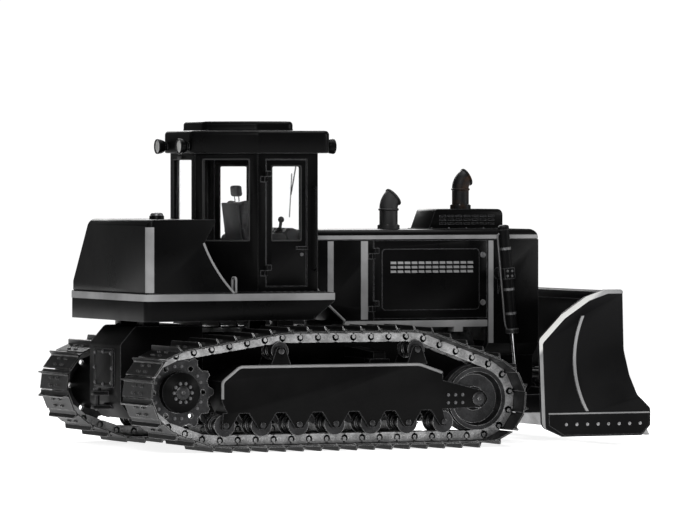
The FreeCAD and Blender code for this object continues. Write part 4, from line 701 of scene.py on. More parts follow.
def belt(wheels):
    """Stretches of a belt round wheels in order: arcs, each followed by the line to the next."""
    turns = []
    for i, (x0, z0, r0) in enumerate(wheels):
        x1, z1, r1 = wheels[(i + 1) % len(wheels)]
        gap = math.hypot(x1 - x0, z1 - z0)
        turns.append(math.atan2(z1 - z0, x1 - x0) - math.pi / 2.0 + math.asin((r0 - r1) / gap))
    stretches = []
    for i, (x0, z0, r0) in enumerate(wheels):
        x1, z1, r1 = wheels[(i + 1) % len(wheels)]
        arrive, leave = turns[i - 1], turns[i]
        while leave < arrive:
            leave += 2.0 * math.pi
        stretches.append(("arc", (x0, z0), r0, arrive, r0 * (leave - arrive)))
        start = Vector((x0 + r0 * math.cos(leave), z0 + r0 * math.sin(leave)))
        end = Vector((x1 + r1 * math.cos(leave), z1 + r1 * math.sin(leave)))
        stretches.append(("line", start, end, leave, (end - start).length))
    return stretches


loop = belt(WHEELS)
loop_length = sum(stretch[-1] for stretch in loop)
shoe_count = round(loop_length / SHOE_PITCH)
pitch = loop_length / shoe_count
print("loop:", round(loop_length, 3), "m,", shoe_count, "shoes a side")


def on_loop(distance):
    """Place (x, z) on the pin line and the outward angle there."""
    distance %= loop_length
    for stretch in loop:
        if distance <= stretch[-1]:
            break
        distance -= stretch[-1]
    if stretch[0] == "line":
        place = stretch[1].lerp(stretch[2], distance / stretch[-1])
        return place.x, place.y, stretch[3]
    angle = stretch[3] + distance / stretch[2]
    (x, z), radius = stretch[1], stretch[2]
    return x + radius * math.cos(angle), z + radius * math.sin(angle), angle


# %% [markdown]
# The shoe's plate starts as a side outline of few corners, extruded across. Its front edge dips
# under its neighbour and its rear edge turns up, as a rolled section does. Here X runs along the
# track, Y across and Z outwards, with the pin at the origin.

# %% One track shoe
SHOE_WIDTH = 0.760
PLATE_SEAT = 0.046
PLATE = 0.016
GROUSER = 0.052
GROUSER_AT = 0.11
GROUSER_THICK = 0.016
CHAMFER = 0.035
RAIL_OFFSET = 0.092
RAIL_WIDTH = 0.042
LINK_FOOT = PLATE_SEAT - 0.100


def extruded(name, outline, y0, y1, width):
    """Solid from a side outline (x, z), extruded from y0 to y1 as by hand."""
    piece = drawn(name, [(x, y0, z) for x, z in outline], filled=True)
    with editing(piece):
        bpy.ops.mesh.extrude_region_move(TRANSFORM_OT_translate={"value": (0.0, y1 - y0, 0.0)})
        bpy.ops.mesh.select_all(action="SELECT")
        bpy.ops.mesh.normals_make_consistent(inside=False)
    return round_edges(piece, width, 1)


def make_shoe():
    """One shoe's plate with its bolts."""
    back, front = -0.012, pitch + 0.004
    tip = PLATE_SEAT + PLATE + GROUSER
    face = PLATE_SEAT + PLATE
    foot = GROUSER_AT * pitch
    nose = foot + GROUSER_THICK
    outline = ((back, PLATE_SEAT - 0.010), (back + 0.022, PLATE_SEAT), (front - 0.012, PLATE_SEAT),
               (front, PLATE_SEAT + 0.006), (front - 0.004, face), (nose + 0.008, face), (nose, face + 0.010),
               (nose - 0.001, tip), (foot + 0.002, tip), (foot - 0.002, face + 0.008),
               (foot - 0.012, face - 0.002), (back, PLATE_SEAT + 0.003))
    half = SHOE_WIDTH / 2.0
    plate = extruded("shoe_plate", outline, -half, half, 0.0)
    for side in (-1.0, 1.0):
        with editing(plate):
            bpy.ops.mesh.bisect(plane_co=(0.0, side * (half - CHAMFER), tip), plane_no=(0.0, side, 1.0),
                                clear_outer=True, use_fill=True)
    bolts = []
    for y in (-0.115, -0.069, 0.069, 0.115):
        for x in (0.40, 0.78):
            bolts.append(rod("shoe_bolt", (x * pitch, y, face - 0.002), (x * pitch, y, face + 0.016), 0.014, 6,
                             0.0, 0.0125))
    return plate, bolts


def make_links():
    """The two scalloped links under one shoe, with their pin and bushing."""
    scallop = []
    for share, z in ((0.06, PLATE_SEAT), (0.94, PLATE_SEAT), (0.97, 0.020), (1.18, 0.024), (1.22, 0.0),
                     (1.18, -0.030), (1.04, -0.046), (0.86, LINK_FOOT), (0.14, LINK_FOOT),
                     (-0.02, -0.044), (-0.14, -0.030), (-0.18, 0.0), (-0.14, 0.024), (0.03, 0.028)):
        scallop.append((share * pitch, z))
    pieces = []
    for side in (-1.0, 1.0):
        inner = side * RAIL_OFFSET - RAIL_WIDTH / 2.0
        link = extruded("link", scallop, inner, inner + RAIL_WIDTH, 0.003)
        pieces.append(link)
        face = side * (RAIL_OFFSET + RAIL_WIDTH / 2.0)
        for x in (0.34, 0.66):
            pieces.append(rod("link_eye", (x * pitch, face - side * 0.004, -0.004),
                              (x * pitch, face + side * 0.0015, -0.004), 0.018, 12, 0.0))
    for name, reach, radius, sides in (("pin", 0.027, 0.019, 12), ("bushing", -0.02, 0.030, 14)):
        end = RAIL_OFFSET + reach
        pieces.append(rod(name, (0.0, -end, 0.0), (0.0, end, 0.0), radius, sides, 0.0))
    return pieces


shoe_plate, shoe_bolts = make_shoe()
shoe_master = join("shoe_master", [shoe_plate] + shoe_bolts)
link_master = join("link_master", make_links())
print("shoe faces:", len(shoe_master.data.polygons), "link faces:", len(link_master.data.polygons))


# %% [markdown]
# Each copy is turned so that its foot lies along the line to the next pin, as a real link does, and
# not along the curve. The shoes and the chain are two pieces, since they have different steels.

# %% Lead the shoes round the loop
def around(name, master, side):
    """Copies of a master piece at every pitch of the loop, on one side of the machine."""
    made = []
    for i in range(shoe_count):
        x, z, angle = on_loop(i * pitch)
        next_x, next_z, _ = on_loop((i + 1) * pitch)
        run = Vector((next_x - x, 0.0, next_z - z)).normalized()
        out = Vector((run.z, 0.0, -run.x))
        across = out.cross(run)
        turn = Matrix((run, across, out)).transposed().to_4x4()
        mesh = master.data.copy()
        mesh.transform(Matrix.Translation((x, side * track_middle, z)) @ turn)
        made.append(linked(name, mesh))
    return join(name, made)


for side, word in ((1.0, "left"), (-1.0, "right")):
    shoes = dress(around("shoes_" + word, shoe_master, side), "root", "track_steel")
    chain = dress(around("chain_" + word, link_master, side), "root", "track_steel", "chain_steel")
    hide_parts("track_" + word)
    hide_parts("track_" + word)
discard(shoe_master)
discard(link_master)

# %% [markdown]
# Thin light lines follow the machine's edges in the photograph: round the deck, down the tank's
# corner, along the hood and down the cowl and the radiator guard. They are flat bars fixed to the
# sheet. A bar starts as a line of points whose edges are extruded across; Solidify then gives it a
# thickness, half of it sunk in the sheet, so that no gap can show behind it.

# %% Bars and beads
DECK_SIDE = 1.040
HOOD_SIDE = 0.520


def arc(middle, radius, start, stop, steps=6):
    """Points round a middle between two angles in degrees."""
    turns = [math.radians(start + (stop - start) * i / steps) for i in range(steps + 1)]
    return [(middle[0] + radius * math.cos(turn), middle[1] + radius * math.sin(turn)) for turn in turns]


def arc_through(first, middle, last, steps=14):
    """Points of the round arc that starts, passes and ends at three points (a, b)."""
    (ax, ay), (bx, by), (cx, cy) = first, middle, last
    det = 2.0 * (ax * (by - cy) + bx * (cy - ay) + cx * (ay - by))
    a2, b2, c2 = ax * ax + ay * ay, bx * bx + by * by, cx * cx + cy * cy
    centre = ((a2 * (by - cy) + b2 * (cy - ay) + c2 * (ay - by)) / det,
              (a2 * (cx - bx) + b2 * (ax - cx) + c2 * (bx - ax)) / det)
    turns = [math.degrees(math.atan2(y - centre[1], x - centre[0])) for x, y in (first, middle, last)]
    start, passing, stop = turns[0], turns[1], turns[2]
    passing = start + (passing - start + 180.0) % 360.0 - 180.0
    stop = passing + (stop - passing + 180.0) % 360.0 - 180.0
    return arc(centre, math.hypot(ax - centre[0], ay - centre[1]), start, stop, steps)


def bar(name, points, across, thickness, rounding=0.0012):
    """Flat bar led along points, as wide as the vector across."""
    piece = drawn(name, points)
    with editing(piece):
        bpy.ops.mesh.extrude_region_move(TRANSFORM_OT_translate={"value": tuple(across)})
    modify(piece, "SOLIDIFY", thickness=thickness, offset=0.0)
    with editing(piece):
        bpy.ops.mesh.normals_make_consistent(inside=False)
    return round_edges(piece, rounding, 1)


deck_plan = ([(-0.517, -DECK_SIDE)] + arc((-2.505, -0.97), 0.07, -90.0, -180.0)
             + arc((-2.505, 0.97), 0.07, 180.0, 90.0) + [(-0.517, DECK_SIDE)])
deck_trim = bar("deck_trim", [(x, y, 1.504) for x, y in deck_plan], (0.0, 0.0, 0.070), 0.012)
dress(deck_trim, "root", "body_paint", "light_trim")

corner_plan = [(-2.486, -DECK_SIDE)] + arc((-2.51, -0.995), 0.045, -90.0, -180.0) + [(-2.555, -0.985)]
tank_corner = bar("tank_corner_trim", [(x, y, 1.590) for x, y in corner_plan], (0.0, 0.0, 0.655), 0.010)
dress(tank_corner, "root", "body_paint", "light_trim")
print("deck and tank trim:", len(deck_trim.data.polygons), "and", len(tank_corner.data.polygons), "faces")

# %% [markdown]
# The tank's side box ends in a long sweep down to the deck, with a light bead along its edge and a
# small hand hold at its foot. The bead is a round bar half sunk in the sheet; only the right side
# has its full height, because the tank's left side leans inwards.

# %% Sweep bead and hand hold
sweep = arc_through((-1.94, 2.085), (-1.801, 1.8175), (-1.61, 1.582))
bead = pipe("tank_sweep_bead", [(x - 0.010, -DECK_SIDE + 0.004, z) for x, z in sweep], 0.0125)
dress(bead, "root", "body_paint", "light_trim", 60.0)
hold = pipe("deck_hand_hold", [(-1.585, -1.005, 1.575), (-1.585, -1.005, 1.735), (-1.585, -0.905, 1.735),
                               (-1.585, -0.905, 1.575)], 0.012, 0.03)
dress(hold, "root", "body_paint", "light_trim", 60.0)

# %% [markdown]
# The hood's bar runs from the cab to the nose just under the shoulder. Upright bars cover the joints
# of cowl, door and guard, and a round bead follows the cowl's slanted foot down to the side rail.

# %% Hood, cowl and guard trim
UPRIGHT_BARS = (
    # name, from x, width, from z, to z
    ("cowl_rear_trim", -0.368, 0.066, 1.475, 2.088),
    ("cowl_front_trim", 0.004, 0.078, 1.285, 2.088),
    ("guard_trim", 1.446, 0.056, 1.030, 2.088),
)
for name, x, width, low, high in UPRIGHT_BARS:
    upright = bar(name, [(x, -HOOD_SIDE, low), (x, -HOOD_SIDE, high)], (width, 0.0, 0.0), 0.010)
    dress(both_sides(upright, name), "root", "body_paint", "light_trim")
hood_line = [(-0.498, -HOOD_SIDE, 2.106), (2.004, -HOOD_SIDE, 2.106)]
hood_bar = bar("hood_trim", hood_line, (0.0, 0.0, 0.040), 0.010)
dress(both_sides(hood_bar, "hood_trim"), "root", "body_paint", "light_trim")
foot_bead = pipe("cowl_foot_bead", [(-0.503, -HOOD_SIDE, 1.625), (-0.378, -HOOD_SIDE, 1.455),
                                    (-0.178, -HOOD_SIDE, 1.276)], 0.013, 0.05)
dress(both_sides(foot_bead, "cowl_foot_bead"), "root", "body_paint", "light_trim", 60.0)
rails = bpy.data.objects["side_rails_dressed"]
rails.data.materials[0] = finish["light_trim"]
print("hood and cowl trim: 5 pieces and the side rails")

# %% [markdown]
# The blade's end plates carry a raised rim along the sail and one curved rib, which stand out light
# in the photograph. Both are in the CAD plate already, so only their outermost faces are given the
# light paint, which carries the painted highlight of the slanted rim. A bead along the foot marks the
# wear plate, which is held by a row of plow bolts. The curved face that pushes the soil is one rolled
# sheet over the blade's ribs, worn bright low down.

# %% Blade's sail, wear plates and bolts
SAIL_FACE = 1.620
blade = bpy.data.objects["blade_dressed"]
blade.data.materials.append(finish["sail_trim_and_painted_highlight"])
raised = 0
for face in blade.data.polygons:
    if all(abs(blade.data.vertices[i].co.y) > SAIL_FACE + 0.004 for i in face.vertices):
        face.material_index = 1
        raised += 1

board_front = arc_through((2.450, 1.578), (2.415, 0.930), (2.6367, 0.300), 24)
board_back = [(x - 0.017, z) for x, z in reversed(board_front)]
face_sheet = extruded("blade_face_sheet", board_front + board_back, -1.592, 1.592, 0.002)
dress(face_sheet, "blade", "blade_paint", "blade_face")

wear_outline = ((1.605, 0.330), (1.605, 0.215), (1.775, 0.114), (2.655, 0.114), (2.748, 0.210),
                (2.748, 0.330))
wear_plate = extruded("blade_wear_plates", wear_outline, -SAIL_FACE + 0.002, -SAIL_FACE - 0.007, 0.002)
dress(both_sides(wear_plate, "blade_wear_plates"), "blade", "blade_paint")
bead_line = [(x, -SAIL_FACE - 0.001, 0.336) for x in (1.602, 2.748)]
wear_bead = pipe("blade_wear_beads", bead_line, 0.0085)
dress(both_sides(wear_bead, "blade_wear_beads"), "blade", "blade_paint", "light_trim", 60.0)


SEAM = 0.00002


def turned(name, profile, sides=24):
    """Round form from a profile of (radius, height), spun about +Z at the origin."""
    piece = drawn(name, [(radius, 0.0, height) for radius, height in profile])
    with editing(piece):
        bpy.ops.mesh.spin(steps=sides, angle=2.0 * math.pi, center=(0.0, 0.0, 0.0), axis=(0.0, 0.0, 1.0))
        bpy.ops.mesh.select_all(action="SELECT")
        bpy.ops.mesh.remove_doubles(threshold=SEAM)
        bpy.ops.mesh.normals_make_consistent(inside=False)
    return piece


PLOW_BOLT = ((0.0, 0.002), (0.013, 0.002), (0.017, 0.0), (0.019, -0.006), (0.0, -0.006))
plow_bolt = turned("plow_bolt", PLOW_BOLT, 14)
plow_places = [((1.80 + 0.12 * i, side * (SAIL_FACE + 0.0075), 0.225), (0.0, side, 0.0))
               for side in (-1.0, 1.0) for i in range(8)]
dress(copies("blade_side_bolts", plow_bolt, plow_places), "blade", "blade_paint", "worn_edge")
print("raised blade faces:", raised, "side bolts:", len(plow_places))

# %% [markdown]
# Each work lamp is a spun sheet-metal case with a rolled rim, and a pressed glass lens set back in
# it. The case and the lens are each turned once from a profile and copied to the four places.

# %% Work lamps
LAMP_HEIGHT = 3.055
LAMP_CASE = ((0.0, 0.0), (0.045, 0.0), (0.045, 0.024), (0.056, 0.029), (0.066, 0.044), (0.074, 0.068),
             (0.0755, 0.086), (0.0775, 0.090), (0.0775, 0.104), (0.0755, 0.1075), (0.0715, 0.1075),
             (0.0690, 0.104), (0.0680, 0.095), (0.0, 0.094))
LAMP_LENS = ((0.0, 0.092), (0.0665, 0.093), (0.0665, 0.097), (0.058, 0.1005), (0.034, 0.1035), (0.0, 0.1045))
lamp_case = turned("lamp_case", LAMP_CASE, 36)
lamp_lens = turned("lamp_lens", LAMP_LENS, 36)
lamp_places = []
for x, y, way in ((-1.8103, 0.290, -1.0), (-0.4247, 0.560, 1.0)):
    for side in (-1.0, 1.0):
        lamp_places.append(((x, side * y, LAMP_HEIGHT), (way, 0.0, 0.0)))
cases = dress(copies("lamp_cases", lamp_case, lamp_places), "root", "body_paint", None, 40.0)
lenses = dress(copies("lamp_lenses", lamp_lens, lamp_places), "root", "lamp_glass", None, 60.0)
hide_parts("work_lamps")
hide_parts("work_lamps")
print("lamps:", len(lamp_places))

# %% [markdown]
# Every pane sits in a rubber seal that laps over the sheet. The cab's walls follow its plan, so each
# seal is a closed tube led round its opening in that wall's plane, with rounded corners. The doors'
# seals ride on the doors.

# %% Window seals
CAB_PLAN = ((-1.750, -0.330), (-1.215, -0.700), (-0.555, -0.700), (-0.555, 0.700), (-1.215, 0.700),
            (-1.750, 0.330))
HEAD = 2.925
SILL = 2.100
WINDOW_RINGS = (
    # name, wall, margin at its start, margin at its end, bottom, top, body
    ("seal_rear_right", 0, 0.080, 0.090, SILL, HEAD, "root"),
    ("seal_front", 2, 0.095, 0.095, SILL - 0.060, HEAD, "root"),
    ("seal_rear_left", 4, 0.090, 0.080, SILL, HEAD, "root"),
    ("seal_rear", 5, 0.080, 0.080, SILL, HEAD, "root"),
    ("seal_door_right", 1, 0.151, 0.186, SILL, HEAD - 0.066, "cab_door_right"),
    ("seal_door_left", 3, 0.186, 0.151, SILL, HEAD - 0.066, "cab_door_left"),
)


def on_wall(wall, along, deep, z):
    """Point on a cab wall: along it from its start, deep inwards from its outer face."""
    ax, ay = CAB_PLAN[wall]
    bx, by = CAB_PLAN[(wall + 1) % len(CAB_PLAN)]
    length = math.hypot(bx - ax, by - ay)
    ux, uy = (bx - ax) / length, (by - ay) / length
    along = length + along if along < 0.0 else along
    return Vector((ax + ux * along - uy * deep, ay + uy * along + ux * deep, z))


for name, wall, start, stop, low, high, body in WINDOW_RINGS:
    inner_face = 0.042 if body != "root" else 0.050
    rings = []
    for deep in (0.001, inner_face - 0.001):
        ring = [on_wall(wall, start, deep, low), on_wall(wall, -stop, deep, low),
                on_wall(wall, -stop, deep, high), on_wall(wall, start, deep, high)]
        rings.append(pipe(name, ring, 0.0085, 0.022, closed=True, sides=2))
    dress(join(name, rings), body, "cab_trim", "seal_rubber", 70.0)
print("window seals:", len(WINDOW_RINGS))

# %% [markdown]
# The seat is upholstered: a cushion, a backrest and a headrest, each a closed cover round foam. Each
# starts as a rounded block a little smaller than its space and is remeshed into even small faces.
# Blender's cloth then blows it up from inside for twenty frames, with a cap on how far a point may
# move, so that it is crowned in the middle and drawn in at its corners. Sewn channels are pressed in
# after that, because the remesh would have removed them.

# %% Seat cushions
VOXEL = 0.006
CLOTH_FRAMES = 20
CHANNEL_WIDTH = 0.020
CHANNEL_DEPTH = 0.011


def blown_up(piece, cap):
    """Swells a closed cover by cloth pressure; no point moves further than the cap."""
    before = [vertex.co.copy() for vertex in piece.data.vertices]
    cloth = piece.modifiers.new("cover", "CLOTH")
    cloth.settings.quality = 4
    cloth.settings.use_pressure = True
    cloth.settings.uniform_pressure_force = 4.0
    cloth.settings.effector_weights.gravity = 0.0
    cloth.collision_settings.use_collision = False
    cloth.collision_settings.use_self_collision = False
    for frame_number in range(1, CLOTH_FRAMES + 1):
        bpy.context.scene.frame_set(frame_number)
    pick(piece)
    bpy.ops.object.modifier_apply(modifier="cover")
    bpy.context.scene.frame_set(1)
    moved = 0.0
    for vertex, start in zip(piece.data.vertices, before):
        step = vertex.co - start
        if step.length > cap:
            vertex.co = start + step * (cap / step.length)
        moved = max(moved, (vertex.co - start).length)
    return moved


def lean_back(piece, foot, angle):
    """Tilts a piece back about a foot."""
    foot = Vector(foot)
    piece.data.transform(Matrix.Translation(foot) @ Matrix.Rotation(angle, 4, "Y")
                         @ Matrix.Translation(-foot))


def upholstered(name, low, high, corner, cap, channels, lean=0.0):
    """One cushion; channels are the y of its sewn lines, lean is its tilt."""
    piece = modify(block(name, low, high, corner, 4), "REMESH", mode="VOXEL", voxel_size=VOXEL)
    moved = blown_up(piece, cap)
    for vertex in piece.data.vertices:
        for channel in channels:
            near = 1.0 - min(1.0, abs(vertex.co.y - channel) / CHANNEL_WIDTH)
            vertex.co -= vertex.normal * CHANNEL_DEPTH * near * near * (3.0 - 2.0 * near)
    modify(piece, "SUBSURF", levels=1, render_levels=1)
    if lean:
        lean_back(piece, (high[0], 0.0, low[2]), lean)
    dress(piece, "root", "seat_vinyl", None, 80.0)
    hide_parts("seat")
    print(name, "swelled by mm:", round(1000.0 * moved, 1), "faces:", len(piece.data.polygons))


BACK_LEAN = math.radians(-7.1)
HEAD_LEAN = math.radians(-6.0)
CHANNELS = (-0.085, 0.085)
upholstered("seat_cushion", (-1.115, -0.232, 1.966), (-0.735, 0.232, 2.050), 0.030, 0.022, CHANNELS)
upholstered("seat_backrest", (-1.118, -0.230, 2.000), (-1.040, 0.230, 2.520), 0.030, 0.022, CHANNELS,
            BACK_LEAN)
upholstered("seat_headrest", (-1.182, -0.108, 2.548), (-1.126, 0.108, 2.660), 0.025, 0.016, (),
            HEAD_LEAN)

# %% [markdown]
# A machine like this is bolted together. One hexagon bolt on its washer is modelled and copied to a
# list of places, each with the direction in which its head points. Most lists are rings, so a helper
# gives the places on a circle. The same way serves the axle caps of rollers, idlers and hubs.

# %% Bolts and caps
def bolts(name, radius, places, body, slot, material="bolt_zinc"):
    """Hexagon bolts with washers at (place, direction)."""
    washer = rod("washer", (0.0, 0.0, -0.1 * radius), (0.0, 0.0, 0.30 * radius), 1.35 * radius, 12, 0.0)
    head = rod("head", (0.0, 0.0, 0.2 * radius), (0.0, 0.0, 0.95 * radius), radius, 6, 0.0, 0.90 * radius)
    master = join("bolt", [washer, head])
    return dress(copies(name, master, places), body, slot, material)


def ring_of(middle, radius, count, direction, first=0.0):
    """Places on a circle round a middle, across a direction."""
    turn = Vector(direction).to_track_quat("Z", "Y")
    places = []
    for i in range(count):
        angle = math.radians(first) + 2.0 * math.pi * i / count
        offset = turn @ Vector((radius * math.cos(angle), radius * math.sin(angle), 0.0))
        places.append((Vector(middle) + offset, direction))
    return places


def caps(name, profile, places, body, slot, material=None, sides=20):
    """Turned caps at (place, direction)."""
    master = turned("cap", profile, sides)
    return dress(copies(name, master, places), body, slot, material)


# %% [markdown]
# On the track frame a light line runs along the upper edge and down the rear end in the photograph:
# a round bead on the outer plate. Each roller's shaft ends in a cap, the idler in a larger one, and
# the final drive's cover carries a ring of bolts with a plug in its middle.

# %% Undercarriage details
SIDES = ((-1.0, "right"), (1.0, "left"))
FRAME_FACE = 1.315
HUB_FACE = 1.310
SPROCKET_FACE = 1.180
HUB_BOLTS = 0.096
RIM_BOLTS = 0.262
FRAME_EDGE = ((-1.861, 0.530), (-1.861, 0.702), (-1.671, 0.850), (0.303, 0.850), (0.548, 0.765))
FORK_BOLTS = [(x, z) for x in (0.62, 0.70, 0.78) for z in (0.455, 0.535)]
ROLLER_PLACES = [(-1.825 + 0.4 * i, 0.263) for i in range(7)] + [(-1.225, 1.002), (0.275, 1.002)]
SMALL_CAP = ((0.0, 0.015), (0.021, 0.015), (0.029, 0.011), (0.033, 0.0), (0.033, -0.004), (0.0, -0.004))
LARGE_CAP = ((0.0, 0.013), (0.012, 0.013), (0.016, 0.010), (0.046, 0.014), (0.056, 0.012), (0.070, 0.002),
             (0.071, -0.004), (0.0, -0.004))

for side, word in SIDES:
    out = (0.0, side, 0.0)
    face = side * FRAME_FACE
    frame_bead = pipe("track_frame_bead_" + word, [(x, face, z) for x, z in FRAME_EDGE], 0.015, 0.03)
    dress(frame_bead, "root", "track_frames", "light_trim", 60.0)
    caps("roller_caps_" + word, SMALL_CAP, [((x, face, z), out) for x, z in ROLLER_PLACES], "root",
         "track_frames", "wheel_steel")
    caps("idler_cap_" + word, LARGE_CAP, [((idler.x, face, idler.z), out)], "root", "track_frames",
         "wheel_steel", 32)
    hub, rim = (sprocket.x, side * HUB_FACE, sprocket.z), (sprocket.x, side * SPROCKET_FACE, sprocket.z)
    caps("hub_plug_" + word, LARGE_CAP, [(hub, out)], "root", "track_frames", "wheel_steel", 32)
    places = ring_of(hub, HUB_BOLTS, 10, out)
    places += ring_of(rim, RIM_BOLTS, 6, out, 22.0) + ring_of(rim, RIM_BOLTS, 6, out, 38.0)
    places += [((x, face, z), out) for x, z in FORK_BOLTS]
    bolts("undercarriage_bolts_" + word, 0.0125, places, "root", "track_frames")
print("roller caps a side:", len(ROLLER_PLACES))

# %% [markdown]
# Each lift cylinder leans a little back from the eye on the push arm to its trunnion on the guard.
# Points on it are counted from the eye along that lean. The barrel gets a gland nut, an end cap and
# a rigid oil pipe held by three bands; these ride on the barrel, and so swing with it. The stud's
# washer hides the eye's wide hole and rides on the blade frame.

# %% Lift cylinders
LIFT_EYE = Vector((1.700, 0.0, 0.380))
LIFT_TRUNNION = Vector((1.570, 0.0, 1.750))
LIFT_SIDE = 0.712
TRUNNION_FACE = 0.774
STUD_FACE = 0.753
ARM_PIVOT = (-0.875, 0.638, 0.600)
GLAND_AT, BANDS_AT, BARREL_END = 0.768, (0.95, 1.20, 1.62), 1.857
PIPE_OFF = 0.075
GLAND_NUT = ((0.058, -0.012), (0.068, -0.008), (0.070, 0.0), (0.070, 0.030), (0.067, 0.034), (0.058, 0.034))
BAND = ((0.054, 0.0), (0.060, 0.0), (0.060, 0.026), (0.054, 0.026))
END_CAP = ((0.0, 0.020), (0.030, 0.020), (0.048, 0.014), (0.058, 0.004), (0.058, -0.030), (0.0, -0.030))
STUD_WASHER = ((0.0, 0.012), (0.026, 0.012), (0.030, 0.006), (0.062, 0.005), (0.064, 0.0), (0.0, 0.0))
PIVOT_CAP = ((0.0, 0.010), (0.070, 0.010), (0.080, 0.005), (0.082, 0.0), (0.0, 0.0))
lean = (LIFT_TRUNNION - LIFT_EYE).normalized()
behind = Vector((-lean.z, 0.0, lean.x))


def on_lift(side, along, back=0.0):
    """Point on a lift cylinder: along it from its eye, and back from its middle line."""
    return LIFT_EYE + lean * along + behind * back + Vector((0.0, side * LIFT_SIDE, 0.0))


def rings(name, profile, places, body, material):
    """Rings on a cylinder, turned from a closed profile that stays clear of the axis."""
    master = turned("ring", profile + (profile[0],), 28)
    return dress(copies(name, master, places), body, "cylinder_paint", material)


for side, word in SIDES:
    body, out = "lift_barrel_" + word, (0.0, side, 0.0)
    rings("lift_gland_" + word, GLAND_NUT, [(on_lift(side, GLAND_AT), lean)], body, "wheel_steel")
    rings("lift_bands_" + word, BAND, [(on_lift(side, s), lean) for s in BANDS_AT], body, "bolt_zinc")
    caps("lift_end_" + word, END_CAP, [(on_lift(side, BARREL_END), lean)], body, "cylinder_paint", None, 28)
    route = [on_lift(side, 1.790, 0.040), on_lift(side, 1.790, PIPE_OFF), on_lift(side, 0.860, PIPE_OFF),
             on_lift(side, 0.800, 0.058)]
    dress(pipe("lift_oil_pipe_" + word, route, 0.011, 0.030), body, "cylinder_paint", "bolt_zinc", 60.0)
    trunnion = (LIFT_TRUNNION.x, side * TRUNNION_FACE, LIFT_TRUNNION.z)
    bolts("lift_trunnion_bolts_" + word, 0.010, ring_of(trunnion, 0.036, 4, out, 45.0), body, "cylinder_paint")
    caps("lift_stud_washer_" + word, STUD_WASHER, [((LIFT_EYE.x, side * STUD_FACE, LIFT_EYE.z), out)],
         "blade_frame", "blade_paint", "bolt_zinc", 28)
    caps("arm_pivot_cap_" + word, PIVOT_CAP, [((ARM_PIVOT[0], side * ARM_PIVOT[1], ARM_PIVOT[2]), out)], "root",
         "body_paint", "bolt_zinc", 28)

# %% [markdown]
# The tilt cylinder lies across the back of the blade. It has one gland nut and a short oil pipe on
# top, and both ride on its barrel.

# %% Tilt cylinder
TILT_X = 2.256
TILT_Z = 0.690
TILT_BAND = ((0.043, 0.0), (0.053, 0.002), (0.055, 0.006), (0.055, 0.030), (0.043, 0.032))
rings("tilt_gland", TILT_BAND, [((TILT_X, 0.072, TILT_Z), (0.0, 1.0, 0.0))], "tilt_barrel", "wheel_steel")
route = [(TILT_X, -0.290, 0.730), (TILT_X, -0.290, 0.752), (TILT_X, 0.040, 0.752), (TILT_X, 0.060, 0.735)]
dress(pipe("tilt_oil_pipe", route, 0.009, 0.015), "tilt_barrel", "cylinder_paint", "bolt_zinc", 60.0)

# %% [markdown]
# The engine doors are the only large flat sheets, so they get what such doors have: rows of pressed
# louvres for warm air, and two latches near the free edge. A louvre is a low block whose lower top
# edge is drawn down to the sheet. They stand where the photograph has a light band across the door.

# %% Engine doors and muffler box
def louvre(length, height, depth):
    """One pressed louvre that opens downwards, modelled flat with its outside towards +Z."""
    half, tall = length / 2.0, height / 2.0
    piece = block("louvre", (-half, -tall, -0.002), (half, tall, depth), 0.0)
    for vertex in piece.data.vertices:
        if vertex.co.z > 0.0 and vertex.co.y > 0.0:
            vertex.co.z = 0.001
    return round_edges(piece, 0.0012, 1, 20.0)


DOOR_FACE = 0.528
DOOR_EDGE = 0.519
DOOR_ROWS = (1.773, 1.818, 1.863)
DOOR_COLUMNS = [0.365 + 0.0790 * i for i in range(12)]
LATCHES = ((1.382, 1.45), (1.382, 1.94))
LATCH = ((0.0, 0.008), (0.020, 0.008), (0.026, 0.011), (0.030, 0.008), (0.031, 0.0), (0.0, 0.0))
MUFFLER_FACE = 0.229
MUFFLER_ROWS = (2.262, 2.300, 2.338)
MUFFLER_COLUMNS = [1.060 + 0.092 * i for i in range(7)]
for side, word in SIDES:
    out = (0.0, side, 0.0)
    places = [((x, side * DOOR_FACE, z), out) for x in DOOR_COLUMNS for z in DOOR_ROWS]
    dress(copies("door_louvres_" + word, louvre(0.062, 0.026, 0.012), places), "engine_door_" + word,
          "body_paint", "light_trim")
    caps("door_latches_" + word, LATCH, [((x, side * DOOR_EDGE, z), out) for x, z in LATCHES],
         "engine_door_" + word, "body_paint", "bolt_zinc", 24)
    places = [((x, side * MUFFLER_FACE, z), out) for x in MUFFLER_COLUMNS for z in MUFFLER_ROWS]
    dress(copies("muffler_louvres_" + word, louvre(0.075, 0.022, 0.010), places), "root", "body_paint")
print("louvres on each door:", len(DOOR_COLUMNS) * len(DOOR_ROWS))

# %% [markdown]
# The muffler box stands on a thin bolted flange, and each stack has a ring of bolts at its foot.
# Behind the grille's upright bars runs a set of thin wires, which keeps stones off the radiator.

# %% Muffler flange, hood bolts and grille wires
UP = (0.0, 0.0, 1.0)
FLANGE_TOP = 2.212
INTAKE_FOOT = (0.550, 0.0, 2.245)
EXHAUST_FOOT = (1.370, 0.0, 2.450)
dress(block("muffler_flange", (0.880, -0.250, 2.204), (1.768, 0.250, FLANGE_TOP), 0.002), "root", "body_paint")
places = [((0.93 + 0.1975 * i, side * 0.240, FLANGE_TOP), UP) for i in range(5) for side in (-1.0, 1.0)]
places += ring_of(INTAKE_FOOT, 0.105, 6, UP) + ring_of(EXHAUST_FOOT, 0.098, 6, UP)
bolts("hood_bolts", 0.0075, places, "root", "body_paint")

